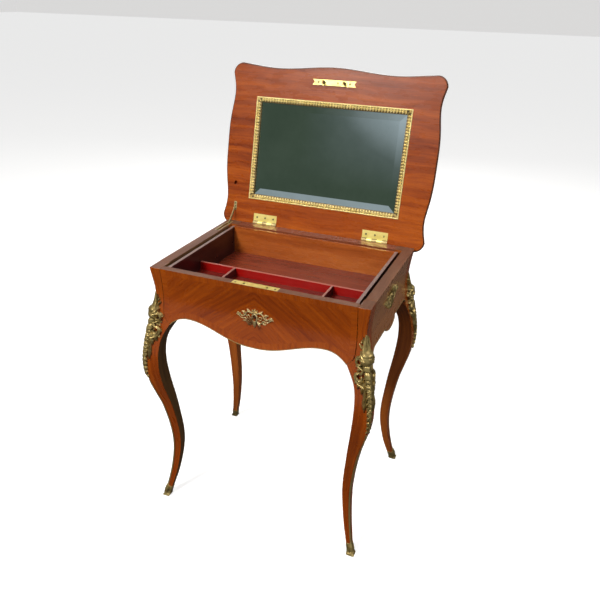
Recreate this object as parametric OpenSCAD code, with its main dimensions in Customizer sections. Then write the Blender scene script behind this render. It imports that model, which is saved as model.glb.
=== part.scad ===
// Dressing table on cabriole legs: a drawer divided inside, under a hinged lid with a mirror.
// X runs along the width and Y towards the back. The table stands on Z = 0 with its lid raised.

/* [Case] */
// Width of the case at its rim
case_w = 572; // [564:1:590]
// Depth of the case at its rim
case_d = 414; // [408:1:424]
// Height of the rim above the floor
rim_h = 720; // [716:1:730]
// Wall thickness of the case sides at the rim
side_t = 27; // [25:0.5:28]
// Depth of the rail that carries the hinges
hinge_rail_d = 31; // [29:1:33]
// How far each foot stands out more to the front or back than to the side
foot_splay = 10; // [4:1:14]

/* [Lid] */
// Half of the greatest width of the lid
lid_half_w = 311; // [306:1:316]
// Reach of the lid in front of its hinge line
lid_front = 452; // [446:1:456]
// Reach of the lid behind its hinge line
lid_back = 17; // [12:1:20]
// Thickness of the lid
lid_t = 19; // [17:0.5:22]
// Depth of the waves in the outline of the lid
lid_wave = 5.5; // [3:0.5:7]
// Radius of the lid's corners
lid_corner_r = 30; // [22:1:34]
// Angle between the lid closed and the lid raised
lid_open = 102.7; // [95:0.1:105]
// Distance of the hinge line behind the case
hinge_back = 8.5; // [8:0.1:9.5]

/* [Mirror] */
// Width over the gilt frame of the mirror
frame_w = 456; // [440:1:460]
// Height over the gilt frame of the mirror
frame_h = 292; // [280:1:296]
// Distance from the hinge line to the near edge of the frame
frame_s = 68; // [64:1:72]
// Width of the frame's moulding
frame_t = 15; // [13:0.5:16]
// Height of the moulding above the inner face of the lid
frame_proud = 2.8; // [2:0.1:2.8]
// Width of the bevel on the glass
bevel_w = 18; // [12:1:22]

/* [Drawer] */
// Half of the width of the drawer front
front_half_w = 255.5; // [250:0.5:256]
// Thickness of the drawer front at its top edge
front_t = 20; // [19:0.5:22]
// Half of the width over the drawer sides
box_half_w = 250; // [248:0.5:251]
// Thickness of the drawer sides and back
box_t = 8; // [6:0.5:9]
// Height of the top of the drawer sides above the floor
box_top = 717; // [712:0.5:717]
// Height of the underside of the drawer box
box_base = 630; // [628:1:632]
// Height of the floor inside the drawer
well_floor = 640; // [638:1:642]
// Height of the raised floor of the front compartments
tray_floor = 657; // [652:1:660]
// Height of the top of the dividers
divider_top = 680; // [675:1:690]
// Thickness of the dividers
divider_t = 5; // [4:0.5:6]
// Place of each cross divider beside the middle
divider_x = 137; // [130:1:145]
// Depth of the front compartments
tray_d = 150; // [140:1:156]

/* [Lock and stay] */
// Height of the keyhole above the floor
key_z = 639; // [637:0.5:641]
// Place of each lid staple beside the middle
staple_x = 30; // [28:0.5:31]
// Travel of the lock's bolt
bolt_travel = 8; // [7:0.5:8]
// Length of the stay between its pivot and its foot
stay_l = 56.5; // [56.5:0.1:57]

/* [Hidden] */
$fn = 48;

// Colours
veneer = [0.55, 0.24, 0.07];
red_stain = [0.45, 0.06, 0.04];
plain_wood = [0.50, 0.27, 0.13];
gilt = [0.72, 0.60, 0.30];
brass = [0.80, 0.66, 0.36];
steel = [0.45, 0.44, 0.42];
silver = [0.62, 0.68, 0.68];

half_w = case_w / 2;
half_d = case_d / 2;
gap = 1;
slack = 0.3;
hinge_y = half_d + hinge_back;
hinge_z = rim_h + 0.4;
// The case is moved along Y so that the key in front and the raised lid behind reach equally far
key_reach = 21;
key_bow_r = 10;
lid_reach = hinge_y - lid_front * cos(lid_open) + lid_t * sin(lid_open);
middle_y = (half_d + key_reach + key_bow_r - lid_reach) / 2;

// Side faces and legs: how far the outer surface stands out from the rim at each height
outer_knots = [
    [0, 3], [100, -15.5], [190, -21], [300, -7], [400, 18.5],
    [455, 22.5], [520, 13.5], [580, 0], [645, -7.5], [rim_h, 0]
];
// Inner edge of a leg, measured inwards from the rim
inner_knots = [
    [0, -10], [92, -33], [190, -44.5], [300, -36], [413, -21],
    [475, -18], [525, -25], [570, -48]
];
post_d = 48;
horn_z = 570;
ogee_z = 598;
ring_step = 12;

function seg(k, z, i = 0) = (i >= len(k) - 2 || z < k[i + 1][0]) ? i : seg(k, z, i + 1);
function secant(k, i, j) = (k[j][1] - k[i][1]) / (k[j][0] - k[i][0]);
function tangent(k, i) = secant(k, max(i - 1, 0), min(i + 1, len(k) - 1));
// Smooth curve through a list of knots
function curve(k, z) =
    let (
        i = seg(k, z),
        h = k[i + 1][0] - k[i][0],
        t = (z - k[i][0]) / h,
        ease = t * t * (3 - 2 * t)
    )
    k[i][1] * (1 - ease) + k[i + 1][1] * ease
    + h * t * (1 - t) * ((1 - t) * tangent(k, i) - t * tangent(k, i + 1));
function steps(a, b, n) = [for (i = [0:n]) a + (b - a) * i / n];
function reversed(v) = [for (i = [len(v) - 1:-1:0]) v[i]];

// Extra stand of the feet in the front and back direction
function splay(z) = foot_splay * max(0, 1 - z / 400);
// Every curved face is made of flats between the same levels, so that fitted pieces meet it exactly
function below(z) = floor(z / ring_step) * ring_step;
function between(z, a, b) = a + (b - a) * (z - below(z)) / ring_step;
function outer(z) = between(z, curve(outer_knots, below(z)), curve(outer_knots, below(z) + ring_step));
function inner(z) = let (v = min(z, horn_z))
    between(v, curve(inner_knots, below(v)), curve(inner_knots, below(v) + ring_step));
function splayed(z) = between(z, splay(below(z)), splay(below(z) + ring_step));
function outer_x(z) = half_w + outer(z);
function outer_y(z) = half_d + outer(z) + splayed(z);
function inner_x(z) = half_w + inner(z);
function inner_y(z) = half_d + inner(z) + splayed(z);
function heights(a, b) = concat(
    [a],
    [for (i = [floor(a / ring_step) + 1:ceil(b / ring_step) - 1]) i * ring_step],
    [b]
);

// Seam between the drawer front and the front posts, from the arch up to the straight part
seam_knots = [[570.5, 238], [576.5, 243], [580, 248], [584, 252], [590, 254.5], [ogee_z, 255.5]];
function seam(grow) = [for (k = seam_knots) [k[1] + grow * 0.8, k[0] - grow * 0.6]];

// Lower outline of the drawer front and of the back panel
arch_mid = 560;
arch_top = 595.5;
arch_peak_x = 182;
arch_end_x = 238;
arch_drop = 25;
function arch(x) =
    abs(x) < arch_peak_x
    ? arch_mid + (arch_top - arch_mid) * pow((1 - cos(180 * x / arch_peak_x)) / 2, 1.25)
    : arch_top - arch_drop * pow((abs(x) - arch_peak_x) / (arch_end_x - arch_peak_x), 2.3);

// Lower outline of the side panels: a lobe in the middle, a cusp each side, and an arch to each leg
side_span = half_d - post_d;
lobe_z = 578.5;
lobe_w = 44;
side_arch_z = 595;
side_drop = 14;
side_round = 26;
function side_arch(y) =
    let (v = abs(y))
    v < lobe_w
    ? lobe_z + 10 * pow(v / lobe_w, 2.2)
    : v < side_span - side_round
        ? side_arch_z
        : side_arch_z - side_drop * pow((v - side_span + side_round) / side_round, 2.5);

// Gilt corner mounts: stand-out and wrap at each height
mount_stand = [[400, 3], [430, 7], [480, 9], [530, 12], [575, 13], [610, 9], [640, 4], [656, 2]];
mount_wrap = [[400, 5], [430, 10], [490, 12], [530, 24], [575, 27], [610, 20], [640, 9], [656, 4]];
fillet_stand = 1;
fillet_wrap = 3;
sabot_top = 30;
sabot_stand = 2;
sole_t = 3;

// Drawer
back_gap_y = half_d - hinge_rail_d;
box_back_y = back_gap_y - 7;
front_y = -half_d + front_t;
divider_y = front_y + tray_d;
box_inner_w = box_half_w - box_t;
floor_t = 6;
board_t = 5;
runner_t = 18;

// Hinges
hinge_x = 169;
hinge_w = 74;
leaf_l = 27;
leaf_t = 2.2;
barrel_r = 5;
pin_r = 1.5;
run = 0.05;
knuckles = 5;
hinge_screw_x = [-26, 0, 26];
hinge_screw_s = 16;
fixed_leaf_l = 24;

// Screws
screw_r = 1.2;
screw_head_r = 2.8;
screw_head_h = 1.7;
screw_l = 9;

// Mirror in the lid
rebate = 10;
glass_t = 4;
frame_depth = 8;
glass_z = -frame_depth;
frame_mid_s = frame_s + frame_h / 2;

// Strike plate and staples on the lid
strike_s = hinge_y + half_d - 11.5;
strike_half_l = 63;
strike_w = 15;
strike_t = 2;
strike_screws = [-46, 10, 45];
staple_t = 3;
staple_w = 8;
staple_l = 15;
staple_eye = 11;

// Lock
case_half_w = 44;
case_y = front_y;
case_low = 626;
case_step = 698;
case_low_t = 9;
case_top_t = 14.5;
selvedge_t = 2.5;
bolt_z = hinge_z - staple_eye;

// Stay of the lid, at the left side
stay_x = -270;
stay_s = 33;
stay_n = 5;
stay_t = 2.4;
stay_arm_w = 7;
track_z = rim_h - 6;
track_front = 112;
track_back = 192;
track_w = 15;
track_slot_w = 7;
track_t = 2;
track_end = 5;
track_deep = 14;

module in_row() {
    translate([0, middle_y, 0]) children();
}
// Quarter of the case: the piece is drawn for +X, +Y and mirrored to its corner
module at_corner(sx, sy) {
    in_row() mirror([sx < 0 ? 1 : 0, 0, 0]) mirror([0, sy < 0 ? 1 : 0, 0]) children();
}
module at_side(sx) {
    in_row() mirror([sx < 0 ? 1 : 0, 0, 0]) children();
}
// Outline in X and Z, drawn out along Y between two places
module slab_y(y0, y1, pts) {
    translate([0, y1, 0]) rotate([90, 0, 0]) linear_extrude(height = y1 - y0) polygon(pts);
}
// Outline in Y and Z, drawn out along X between two places
module slab_x(x0, x1, pts) {
    translate([x0, 0, 0]) rotate([90, 0, 90]) linear_extrude(height = x1 - x0) polygon(pts);
}
module box(lo, hi) {
    translate(lo) cube(hi - lo);
}
// Lid frame: X along the hinge, Y away from the hinge line, Z out of the inner face
module in_lid() {
    in_row() translate([0, hinge_y, hinge_z]) rotate([180 - lid_open, 0, 0]) children();
}

module screw_body() {
    translate([0, 0, -screw_head_h]) cylinder(r1 = screw_r, r2 = screw_head_r, h = screw_head_h);
    translate([0, 0, -screw_l]) cylinder(r = screw_r, h = screw_l - screw_head_h);
}
module screw() {
    difference() {
        screw_body();
        box([-screw_head_r, -0.35, -0.7], [screw_head_r, 0.35, 0.1]);
    }
}

// Legs

function leg_edge(z0, z1, front) =
    let (zs = heights(z0, min(z1, horn_z)))
    concat(
        [for (z = zs) [inner_x(z), z]],
        front ? [for (p = seam(gap)) p] : [],
        front ? [[front_half_w + gap, ogee_z], [front_half_w + gap, z1]] : [[inner_x(horn_z), z1]]
    );
function outer_edge_x(z0, z1, grow = 0) = [for (z = heights(z0, z1)) [outer_x(z) + grow, z]];
function outer_edge_y(z0, z1, grow = 0) = [for (z = heights(z0, z1)) [outer_y(z) + grow, z]];

module leg_shape(front) {
    reach = half_d + 40;
    intersection() {
        slab_y(0, reach, concat(outer_edge_x(sole_t, rim_h), reversed(leg_edge(sole_t, rim_h, front))));
        slab_x(0, half_w + 40, concat(
            outer_edge_y(sole_t, rim_h),
            reversed([for (z = heights(sole_t, rim_h)) [inner_y(z), z]])
        ));
    }
}
// The back posts are notched for the drawer and its runners
module leg_notched(front) {
    difference() {
        leg_shape(front);
        if (!front)
            box([0, 0, box_base - runner_t], [half_w - side_t, back_gap_y, rim_h + 1]);
    }
}
module leg(sx, sy) {
    color(veneer) difference() {
        at_corner(sx, sy) leg_notched(sy < 0);
        in_row() track_recess();
    }
}

// Solid of the case and legs, used to hollow what is fitted over a corner
module corner_core(z0, z1) {
    intersection() {
        slab_y(0, half_d + 60, concat(outer_edge_x(z0, z1), [[0, z1], [0, z0]]));
        slab_x(0, half_w + 60, concat(outer_edge_y(z0, z1), [[0, z1], [0, z0]]));
    }
}
// Angle-shaped cover on the outer corner between two heights
module corner_cover(z0, z1, stand, wrap) {
    zs = heights(z0, z1);
    difference() {
        intersection() {
            slab_y(0, half_d + 60, concat(
                [for (z = zs) [outer_x(z) + curve(stand, z), z]],
                reversed([for (z = zs) [outer_x(z) - curve(wrap, z), z]])
            ));
            slab_x(0, half_w + 60, concat(
                [for (z = zs) [outer_y(z) + curve(stand, z), z]],
                reversed([for (z = zs) [outer_y(z) - curve(wrap, z), z]])
            ));
        }
        corner_core(z0, z1);
    }
}
module corner_mount(sx, sy) {
    color(gilt) at_corner(sx, sy) corner_cover(400, 656, mount_stand, mount_wrap);
}
module leg_fillets() {
    color(brass) for (sx = [-1, 1], sy = [-1, 1]) at_corner(sx, sy)
        corner_cover(sabot_top, 400, [[0, fillet_stand], [rim_h, fillet_stand]],
            [[0, fillet_wrap], [rim_h, fillet_wrap]]);
}
// Shoe of a foot: a cup with a small toe
module sabot(sx, sy) {
    zs = steps(0, sabot_top, 4);
    toe = [[0, 5], [10, 3], [sabot_top, sabot_stand]];
    color(gilt) at_corner(sx, sy) difference() {
        intersection() {
            slab_y(0, half_d + 60, concat(
                [for (z = zs) [outer_x(z) + curve(toe, z), z]],
                reversed([for (z = zs) [inner_x(z) - sabot_stand, z]])
            ));
            slab_x(0, half_w + 60, concat(
                [for (z = zs) [outer_y(z) + curve(toe, z), z]],
                reversed([for (z = zs) [inner_y(z) - sabot_stand, z]])
            ));
        }
        leg_shape(sy < 0);
    }
}

// Case

side_ys = concat(steps(-side_span, -lobe_w, 24), steps(-lobe_w + 0.1, lobe_w - 0.1, 20),
    steps(lobe_w, side_span, 24));
module side_shape() {
    intersection() {
        slab_x(half_w - side_t, half_w + 20, concat(
            [for (y = side_ys) [y, side_arch(y)]],
            [[side_span, rim_h], [-side_span, rim_h]]
        ));
        slab_y(-side_span, side_span, concat(
            outer_edge_x(horn_z, rim_h),
            [[half_w - side_t, rim_h], [half_w - side_t, horn_z]]
        ));
    }
}
module track_recess() {
    box([stay_x - track_w / 2, track_front - track_end, rim_h - track_t],
        [stay_x + track_w / 2, track_back + track_end, rim_h + 1]);
    box([stay_x - track_slot_w / 2, track_front, rim_h - track_deep],
        [stay_x + track_slot_w / 2, track_back, rim_h]);
}
module side_panel_left() {
    color(veneer) in_row() difference() {
        mirror([1, 0, 0]) side_shape();
        track_recess();
        track_screws() screw_body();
    }
}
module side_panel_right() {
    color(veneer) in_row() side_shape();
}
module side_edgings() {
    color(brass) for (sx = [-1, 1]) at_side(sx) intersection() {
        slab_x(half_w - 12, half_w + 20, concat(
            [for (y = side_ys) [y, side_arch(y) - 1.6]],
            reversed([for (y = side_ys) [y, side_arch(y)]])
        ));
        slab_y(-side_span, side_span, concat(
            outer_edge_x(horn_z, 610, 0.8),
            reversed(outer_edge_x(horn_z, 610, -4))
        ));
    }
}
back_panel_t = 11;
module back_panel() {
    xs = steps(-arch_end_x, arch_end_x, 72);
    color(plain_wood) in_row() intersection() {
        slab_y(half_d - 30, half_d + 20, concat(
            [for (x = xs) [x, arch(x)]],
            [[arch_end_x, rim_h - hinge_rail_d], [-arch_end_x, rim_h - hinge_rail_d]]
        ));
        slab_x(-half_w, half_w, concat(
            outer_edge_y(arch_mid - 10, rim_h),
            [[half_d - 7.5 - back_panel_t, rim_h], [half_d - 7.5 - back_panel_t, arch_mid - 10]]
        ));
    }
}
module hinge_rail() {
    color(veneer) in_row() difference() {
        box([-arch_end_x, back_gap_y, rim_h - hinge_rail_d], [arch_end_x, half_d, rim_h]);
        for (sx = [-1, 1], x = hinge_screw_x) fixed_screw_place(sx * hinge_x + x) screw_body();
    }
}
module front_rail() {
    color(plain_wood) in_row()
        box([-front_half_w - gap, front_y + 2, 604], [front_half_w + gap, -side_span, 625]);
}
// Runner with a guide along its outer edge, between the posts
module runner(sx) {
    inner = box_half_w - 16;
    color(plain_wood) at_side(sx) slab_y(-side_span, back_gap_y, [
        [inner, box_base - slack], [inner, box_base - runner_t],
        [half_w - side_t, box_base - runner_t], [half_w - side_t, box_base + 15],
        [box_half_w + 0.6, box_base + 15], [box_half_w + 0.6, box_base - slack]
    ]);
}

// Pierced scroll mount, used around the keyhole and on the sides

scroll_top = [[0, 22], [7, 19], [13, 12], [21, 14], [30, 8], [39, 11], [46, 8], [49, 3]];
scroll_low = [[0, -24], [6, -15], [12, -19], [18, -9], [28, -2], [38, 1], [45, -2], [49, 3]];
module scroll_outline() {
    us = steps(0, 49, 24);
    half = concat([for (u = us) [u, curve(scroll_low, u)]], reversed([for (u = us) [u, curve(scroll_top, u)]]));
    difference() {
        union() {
            polygon(half);
            mirror([1, 0]) polygon(half);
        }
        for (sx = [-1, 1]) {
            translate([sx * 15, 2]) circle(r = 3);
            translate([sx * 27, 3]) circle(r = 2);
            translate([sx * 10, -11]) circle(r = 1.6);
        }
    }
}
mount_t = 4;
module side_mount(sx) {
    grow = 1.2;
    mid_z = 662;
    color(gilt) at_side(sx) intersection() {
        translate([half_w - 20, 0, mid_z]) rotate([90, 0, 90]) linear_extrude(height = 40)
            scale(grow) scroll_outline();
        slab_y(-100, 100, concat(outer_edge_x(620, 700, mount_t), reversed(outer_edge_x(620, 700))));
    }
}

// Hinges

function knuckle_x(i) = -hinge_w / 2 + hinge_w * i / knuckles;
module knuckle(i) {
    translate([knuckle_x(i) + 0.15, 0, 0]) rotate([90, 0, 90])
        cylinder(r = barrel_r, h = hinge_w / knuckles - 0.3);
}
module pin_bore(r) {
    translate([-hinge_w / 2 - 1, 0, 0]) rotate([90, 0, 90]) cylinder(r = r, h = hinge_w + 2);
}
module fixed_screw_place(x) {
    translate([x, half_d + leaf_t, rim_h - 15]) rotate([-90, 0, 0]) children();
}
module hinge_fixed(sx) {
    color(brass) in_row() difference() {
        translate([sx * hinge_x, 0, 0]) {
            box([-hinge_w / 2, half_d, rim_h - fixed_leaf_l], [hinge_w / 2, half_d + leaf_t, rim_h - 1]);
            difference() {
                box([-hinge_w / 2, half_d, rim_h - 3.4], [hinge_w / 2, hinge_y, rim_h - 1]);
                for (i = [1, 3]) translate([knuckle_x(i) - 0.15, hinge_y - barrel_r - 0.6, rim_h - 8])
                    cube([hinge_w / knuckles + 0.3, 12, 10]);
            }
            for (i = [0, 2, 4]) translate([0, hinge_y, hinge_z]) knuckle(i);
        }
        translate([sx * hinge_x, hinge_y, hinge_z]) pin_bore(pin_r);
        for (x = hinge_screw_x) fixed_screw_place(sx * hinge_x + x) screw_body();
    }
}
module hinge_leaf(sx) {
    color(brass) in_lid() difference() {
        translate([sx * hinge_x, 0, 0]) {
            difference() {
                box([-hinge_w / 2, 0, -leaf_t], [hinge_w / 2, leaf_l, 0]);
                for (i = [0, 2, 4]) translate([knuckle_x(i) - 0.15, -1, -leaf_t - 1])
                    cube([hinge_w / knuckles + 0.3, barrel_r + 1.6, 5]);
            }
            for (i = [1, 3]) knuckle(i);
        }
        translate([sx * hinge_x, 0, 0]) pin_bore(pin_r + run);
        for (x = hinge_screw_x) translate([sx * hinge_x + x, hinge_screw_s, 0]) screw_body();
    }
}
module hinge_pins() {
    color(steel) in_row() for (sx = [-1, 1])
        translate([sx * hinge_x - hinge_w / 2, hinge_y, hinge_z]) rotate([90, 0, 90])
            cylinder(r = pin_r, h = hinge_w);
}

// Lid

lid_mid_s = (lid_front - lid_back) / 2;
lid_half_l = (lid_front + lid_back) / 2;
function wave(u, waist, power) = lid_wave * cos(180 * pow(abs(u) / waist, power));
function lid_side(v) = lid_half_w - lid_wave + wave(v / lid_half_l, 0.645, 1.8);
function lid_end(x) = lid_half_l - lid_wave + wave(x / lid_half_w, 0.53, 1);
module lid_outline() {
    cx = lid_side(lid_half_l - lid_corner_r) - lid_corner_r;
    cv = lid_end(lid_half_w - lid_corner_r) - lid_corner_r;
    quarter = concat(
        [for (x = steps(0, cx, 26)) [x, lid_end(x)]],
        [for (a = steps(84, 6, 9)) [cx + lid_corner_r * cos(a), cv + lid_corner_r * sin(a)]],
        [for (v = steps(cv, 0, 22)) [lid_side(v), v]]
    );
    upper = concat(quarter, reversed([for (p = quarter) [p[0], -p[1]]]));
    translate([0, lid_mid_s]) polygon(concat(upper, reversed([for (p = upper) [-p[0], p[1]]])));
}
peg_hole = [-274, 109];
module lid_panel() {
    color(veneer) in_lid() difference() {
        translate([0, 0, -lid_t]) linear_extrude(height = lid_t) lid_outline();
        box([-frame_w / 2, frame_s, -rebate], [frame_w / 2, frame_s + frame_h, 1]);
        for (sx = [-1, 1]) translate([sx * hinge_x, 0, 0]) {
            box([-hinge_w / 2, -1, -leaf_t], [hinge_w / 2, leaf_l, 1]);
            translate([-hinge_w / 2 - slack, 0, 0]) rotate([90, 0, 90])
                cylinder(r = barrel_r + 0.7, h = hinge_w + 2 * slack);
        }
        translate([0, 0, -strike_t]) linear_extrude(height = strike_t + 1) strike_outline();
        for (sx = [-1, 1]) translate([sx * staple_x, strike_s, -8]) cylinder(r = 2.5, h = 9);
        bracket_base(1);
        translate([peg_hole[0], peg_hole[1], -9]) cylinder(r = 5.5, h = 10);
        lid_screws() screw_body();
    }
}
module lid_screws() {
    for (sx = [-1, 1], x = hinge_screw_x) translate([sx * hinge_x + x, hinge_screw_s, 0]) children();
    for (x = strike_screws) translate([x, strike_s, 0]) children();
    for (s = [40, 49]) translate([stay_x, s, 0]) children();
}
module screws_lid() {
    color(brass) in_lid() lid_screws() screw();
}
module mirror_backboard() {
    color(plain_wood) in_lid()
        box([-frame_w / 2, frame_s, -rebate], [frame_w / 2, frame_s + frame_h, -frame_depth]);
}
// Bevelled plate, held under the moulding by its edge
module mirror_glass() {
    lip = 6.5;
    w = frame_w / 2 - frame_t + lip;
    h = frame_h / 2 - frame_t + lip;
    b = bevel_w + lip;
    color(silver) in_lid() translate([0, frame_mid_s, glass_z]) hull() {
        box([-w, -h, 0], [w, h, glass_t - 1.6]);
        box([-w + b, -h + b, 0], [w - b, h - b, glass_t]);
    }
}
// Section of the moulding, with its outer edge on X = 0
module moulding_section() {
    polygon([
        [0, -frame_depth], [-8.5, -frame_depth], [-8.5, -frame_depth + glass_t],
        [-frame_t, -frame_depth + glass_t], [-frame_t, 0.5], [-frame_t + 2, frame_proud - 0.8],
        [-frame_t / 2, frame_proud], [-2, frame_proud - 0.6], [0, 1.4]
    ]);
}
// Length of moulding along X with mitred ends, its outer edge on Y = 0 and its inside at +Y
module moulding(length) {
    difference() {
        translate([-length / 2, 0, 0]) rotate([90, 0, 90]) mirror([1, 0]) linear_extrude(height = length)
            moulding_section();
        for (sx = [-1, 1]) translate([sx * length / 2, 0, -20]) rotate([0, 0, sx * 45])
            translate([sx * 25, 0, 20]) cube([50, 90, 60], center = true);
    }
}
module frame_side(turn, length, reach) {
    color(gilt) in_lid() translate([0, frame_mid_s, 0]) rotate([0, 0, turn])
        translate([0, -reach, 0]) moulding(length);
}

// Strike plate with swallow-tail ends, let into the lid
module strike_outline() {
    translate([0, strike_s]) polygon([
        [-strike_half_l, -strike_w / 2], [strike_half_l, -strike_w / 2], [strike_half_l - 6, 0],
        [strike_half_l, strike_w / 2], [-strike_half_l, strike_w / 2], [-strike_half_l + 6, 0]
    ]);
}
module strike_plate() {
    color(brass) in_lid() difference() {
        translate([0, 0, -strike_t]) linear_extrude(height = strike_t) strike_outline();
        for (sx = [-1, 1]) translate([sx * staple_x, strike_s, -8]) cylinder(r = 2.5, h = 9);
        lid_screws() screw_body();
    }
}
// Staple: a pierced plate on a round tenon that is riveted through the strike plate
module strike_staples() {
    color(steel) in_lid() for (sx = [-1, 1]) translate([sx * staple_x, strike_s, 0]) {
        translate([0, 0, -8]) cylinder(r = 2.5, h = 8);
        difference() {
            box([-staple_t / 2, -staple_w / 2, 0], [staple_t / 2, staple_w / 2, staple_l]);
            box([-staple_t, -2.6, staple_eye - 2], [staple_t, 2.6, staple_eye + 2]);
        }
    }
}

// Stay

module bracket_base(over) {
    box([stay_x - 4.5, 28, -1.8], [stay_x + 4.5, 54, over > 0 ? over : 0]);
}
module stay_bracket() {
    color(brass) in_lid() difference() {
        union() {
            bracket_base(0);
            translate([stay_x - stay_t / 2 - 1.7, stay_s, 0]) {
                translate([0, 0, stay_n]) rotate([90, 0, 90]) cylinder(r = 3.2, h = 1.5);
                box([0, -3.2, -0.5], [1.5, 3.2, stay_n]);
                translate([0, 0, stay_n]) rotate([90, 0, 90]) cylinder(r = pin_r, h = stay_t + 2.3);
            }
            translate([stay_x + stay_t / 2 + 0.2, stay_s, stay_n]) rotate([90, 0, 90])
                cylinder(r = 2.4, h = 0.8);
        }
        lid_screws() screw_body();
    }
}
// Where the pivot of the raised stay is, and how steeply the arm then runs down to its foot
pivot_y = hinge_y - stay_s * cos(lid_open) - stay_n * sin(lid_open);
pivot_z = hinge_z + stay_s * sin(lid_open) - stay_n * cos(lid_open);
stay_dip = asin((pivot_z - track_z) / stay_l);
module stay_arm() {
    color(brass) in_row() translate([stay_x - stay_t / 2, pivot_y, pivot_z]) rotate([stay_dip, 0, 0])
        difference() {
            union() {
                box([0, -stay_l, -stay_arm_w / 2], [stay_t, 0, stay_arm_w / 2]);
                rotate([90, 0, 90]) cylinder(r = stay_arm_w / 2, h = stay_t);
                translate([0, -stay_l, 0]) rotate([90, 0, 90]) cylinder(r = stay_arm_w / 2, h = stay_t);
                translate([-1.6, -stay_l, 0]) rotate([90, 0, 90]) cylinder(r = 1.8, h = stay_t + 3.2);
            }
            translate([-1, 0, 0]) rotate([90, 0, 90]) cylinder(r = pin_r + run, h = stay_t + 2);
        }
}
module track_screws() {
    translate([stay_x, track_front - 2.6, rim_h]) children();
}
module stay_track() {
    color(brass) in_row() difference() {
        box([stay_x - track_w / 2, track_front - track_end, rim_h - track_t],
            [stay_x + track_w / 2, track_back + track_end, rim_h]);
        box([stay_x - track_slot_w / 2, track_front, rim_h - 5],
            [stay_x + track_slot_w / 2, track_back, rim_h + 1]);
        track_screws() screw_body();
    }
}
module screws_case() {
    color(brass) in_row() {
        for (sx = [-1, 1], x = hinge_screw_x) fixed_screw_place(sx * hinge_x + x) screw();
        track_screws() screw();
    }
}

// Drawer

module front_outline() {
    xs = steps(-arch_end_x, arch_end_x, 76);
    right = seam(0);
    polygon(concat(
        [for (x = xs) [x, arch(x)]],
        [for (i = [1:len(right) - 1]) right[i]],
        [[front_half_w, rim_h], [-front_half_w, rim_h]],
        reversed([for (i = [1:len(right) - 1]) [-right[i][0], right[i][1]]])
    ));
}
module front_section() {
    low = arch_mid - 10;
    slab_x(-half_w, half_w, concat(
        [for (z = heights(low, rim_h)) [-outer_y(z), z]],
        [[front_y, rim_h], [front_y, low]]
    ));
}
module drawer_front() {
    color(veneer) in_row() difference() {
        intersection() {
            translate([0, half_d, 0]) rotate([90, 0, 0]) linear_extrude(height = 2 * half_d + 40)
                front_outline();
            front_section();
        }
        case_outer();
        selvedge_body();
        translate([0, front_y, key_z]) rotate([90, 0, 0]) cylinder(r = 3, h = 60);
        box([-1.8, -half_d - 40, key_z - 9], [1.8, front_y, key_z]);
        for (sx = [-1, 1]) translate([sx * 52, -half_d + 9, rim_h]) screw_body();
    }
}
module drawer_edging() {
    xs = steps(-arch_end_x, arch_end_x, 76);
    color(brass) in_row() intersection() {
        slab_y(-half_d - 40, 0, concat(
            [for (x = xs) [x, arch(x) - 1.6]],
            reversed([for (x = xs) [x, arch(x)]])
        ));
        slab_x(-half_w, half_w, concat(
            [for (z = heights(550, 610)) [-outer_y(z) - 0.8, z]],
            reversed([for (z = heights(550, 610)) [-outer_y(z) + 4, z]])
        ));
    }
}
module drawer_side(sx) {
    color(plain_wood) at_side(sx)
        box([box_inner_w, front_y, box_base], [box_half_w, box_back_y, box_top]);
}
module drawer_back() {
    color(veneer) in_row()
        box([-box_inner_w, box_back_y - box_t, box_base], [box_inner_w, box_back_y, box_top]);
}
module drawer_floor() {
    color(veneer) in_row()
        box([-box_inner_w, front_y, well_floor - floor_t], [box_inner_w, box_back_y - box_t, well_floor]);
}
module divider_long() {
    color(red_stain) in_row()
        box([-box_inner_w, divider_y, well_floor], [box_inner_w, divider_y + divider_t, divider_top]);
}
module divider_cross(sx) {
    color(red_stain) at_side(sx)
        box([divider_x - divider_t / 2, front_y, tray_floor], [divider_x + divider_t / 2, divider_y, divider_top]);
}
module tray_floor_board() {
    color(red_stain) in_row()
        box([-box_inner_w, front_y, tray_floor - board_t], [box_inner_w, divider_y, tray_floor]);
}

// Lock: a case let into the back of the drawer front, with a step where the staples drop in

module case_outer() {
    box([-case_half_w, case_y - case_low_t, case_low], [case_half_w, case_y, rim_h - selvedge_t]);
    box([-case_half_w, case_y - case_top_t, case_step], [case_half_w, case_y, rim_h - selvedge_t]);
}
module lock_case() {
    wall = 1.2;
    color(steel) in_row() difference() {
        case_outer();
        box([-case_half_w + wall, case_y - case_low_t + wall, case_low + wall],
            [case_half_w - wall, case_y - wall, rim_h]);
        box([-case_half_w + wall, case_y - case_top_t + wall, case_step + wall],
            [case_half_w - wall, case_y - wall, rim_h]);
        translate([0, case_y - 4, key_z]) rotate([90, 0, 0]) cylinder(r = 2 + run, h = 20);
        box([-1.2, case_y - 20, key_z - 9], [1.2, case_y - 4, key_z]);
    }
}
module selvedge_body() {
    box([-60, -half_d + 1.5, rim_h - selvedge_t], [60, front_y, rim_h]);
}
module lock_selvedge() {
    staple_y = hinge_y - strike_s;
    color(brass) in_row() difference() {
        selvedge_body();
        for (sx = [-1, 1]) translate([sx * staple_x, staple_y, rim_h]) cube([7, 10, 12], center = true);
        for (sx = [-1, 1]) translate([sx * 52, -half_d + 9, rim_h]) screw_body();
    }
}
module screws_drawer() {
    color(brass) in_row() for (sx = [-1, 1]) translate([sx * 52, -half_d + 9, rim_h]) screw();
}
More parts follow.
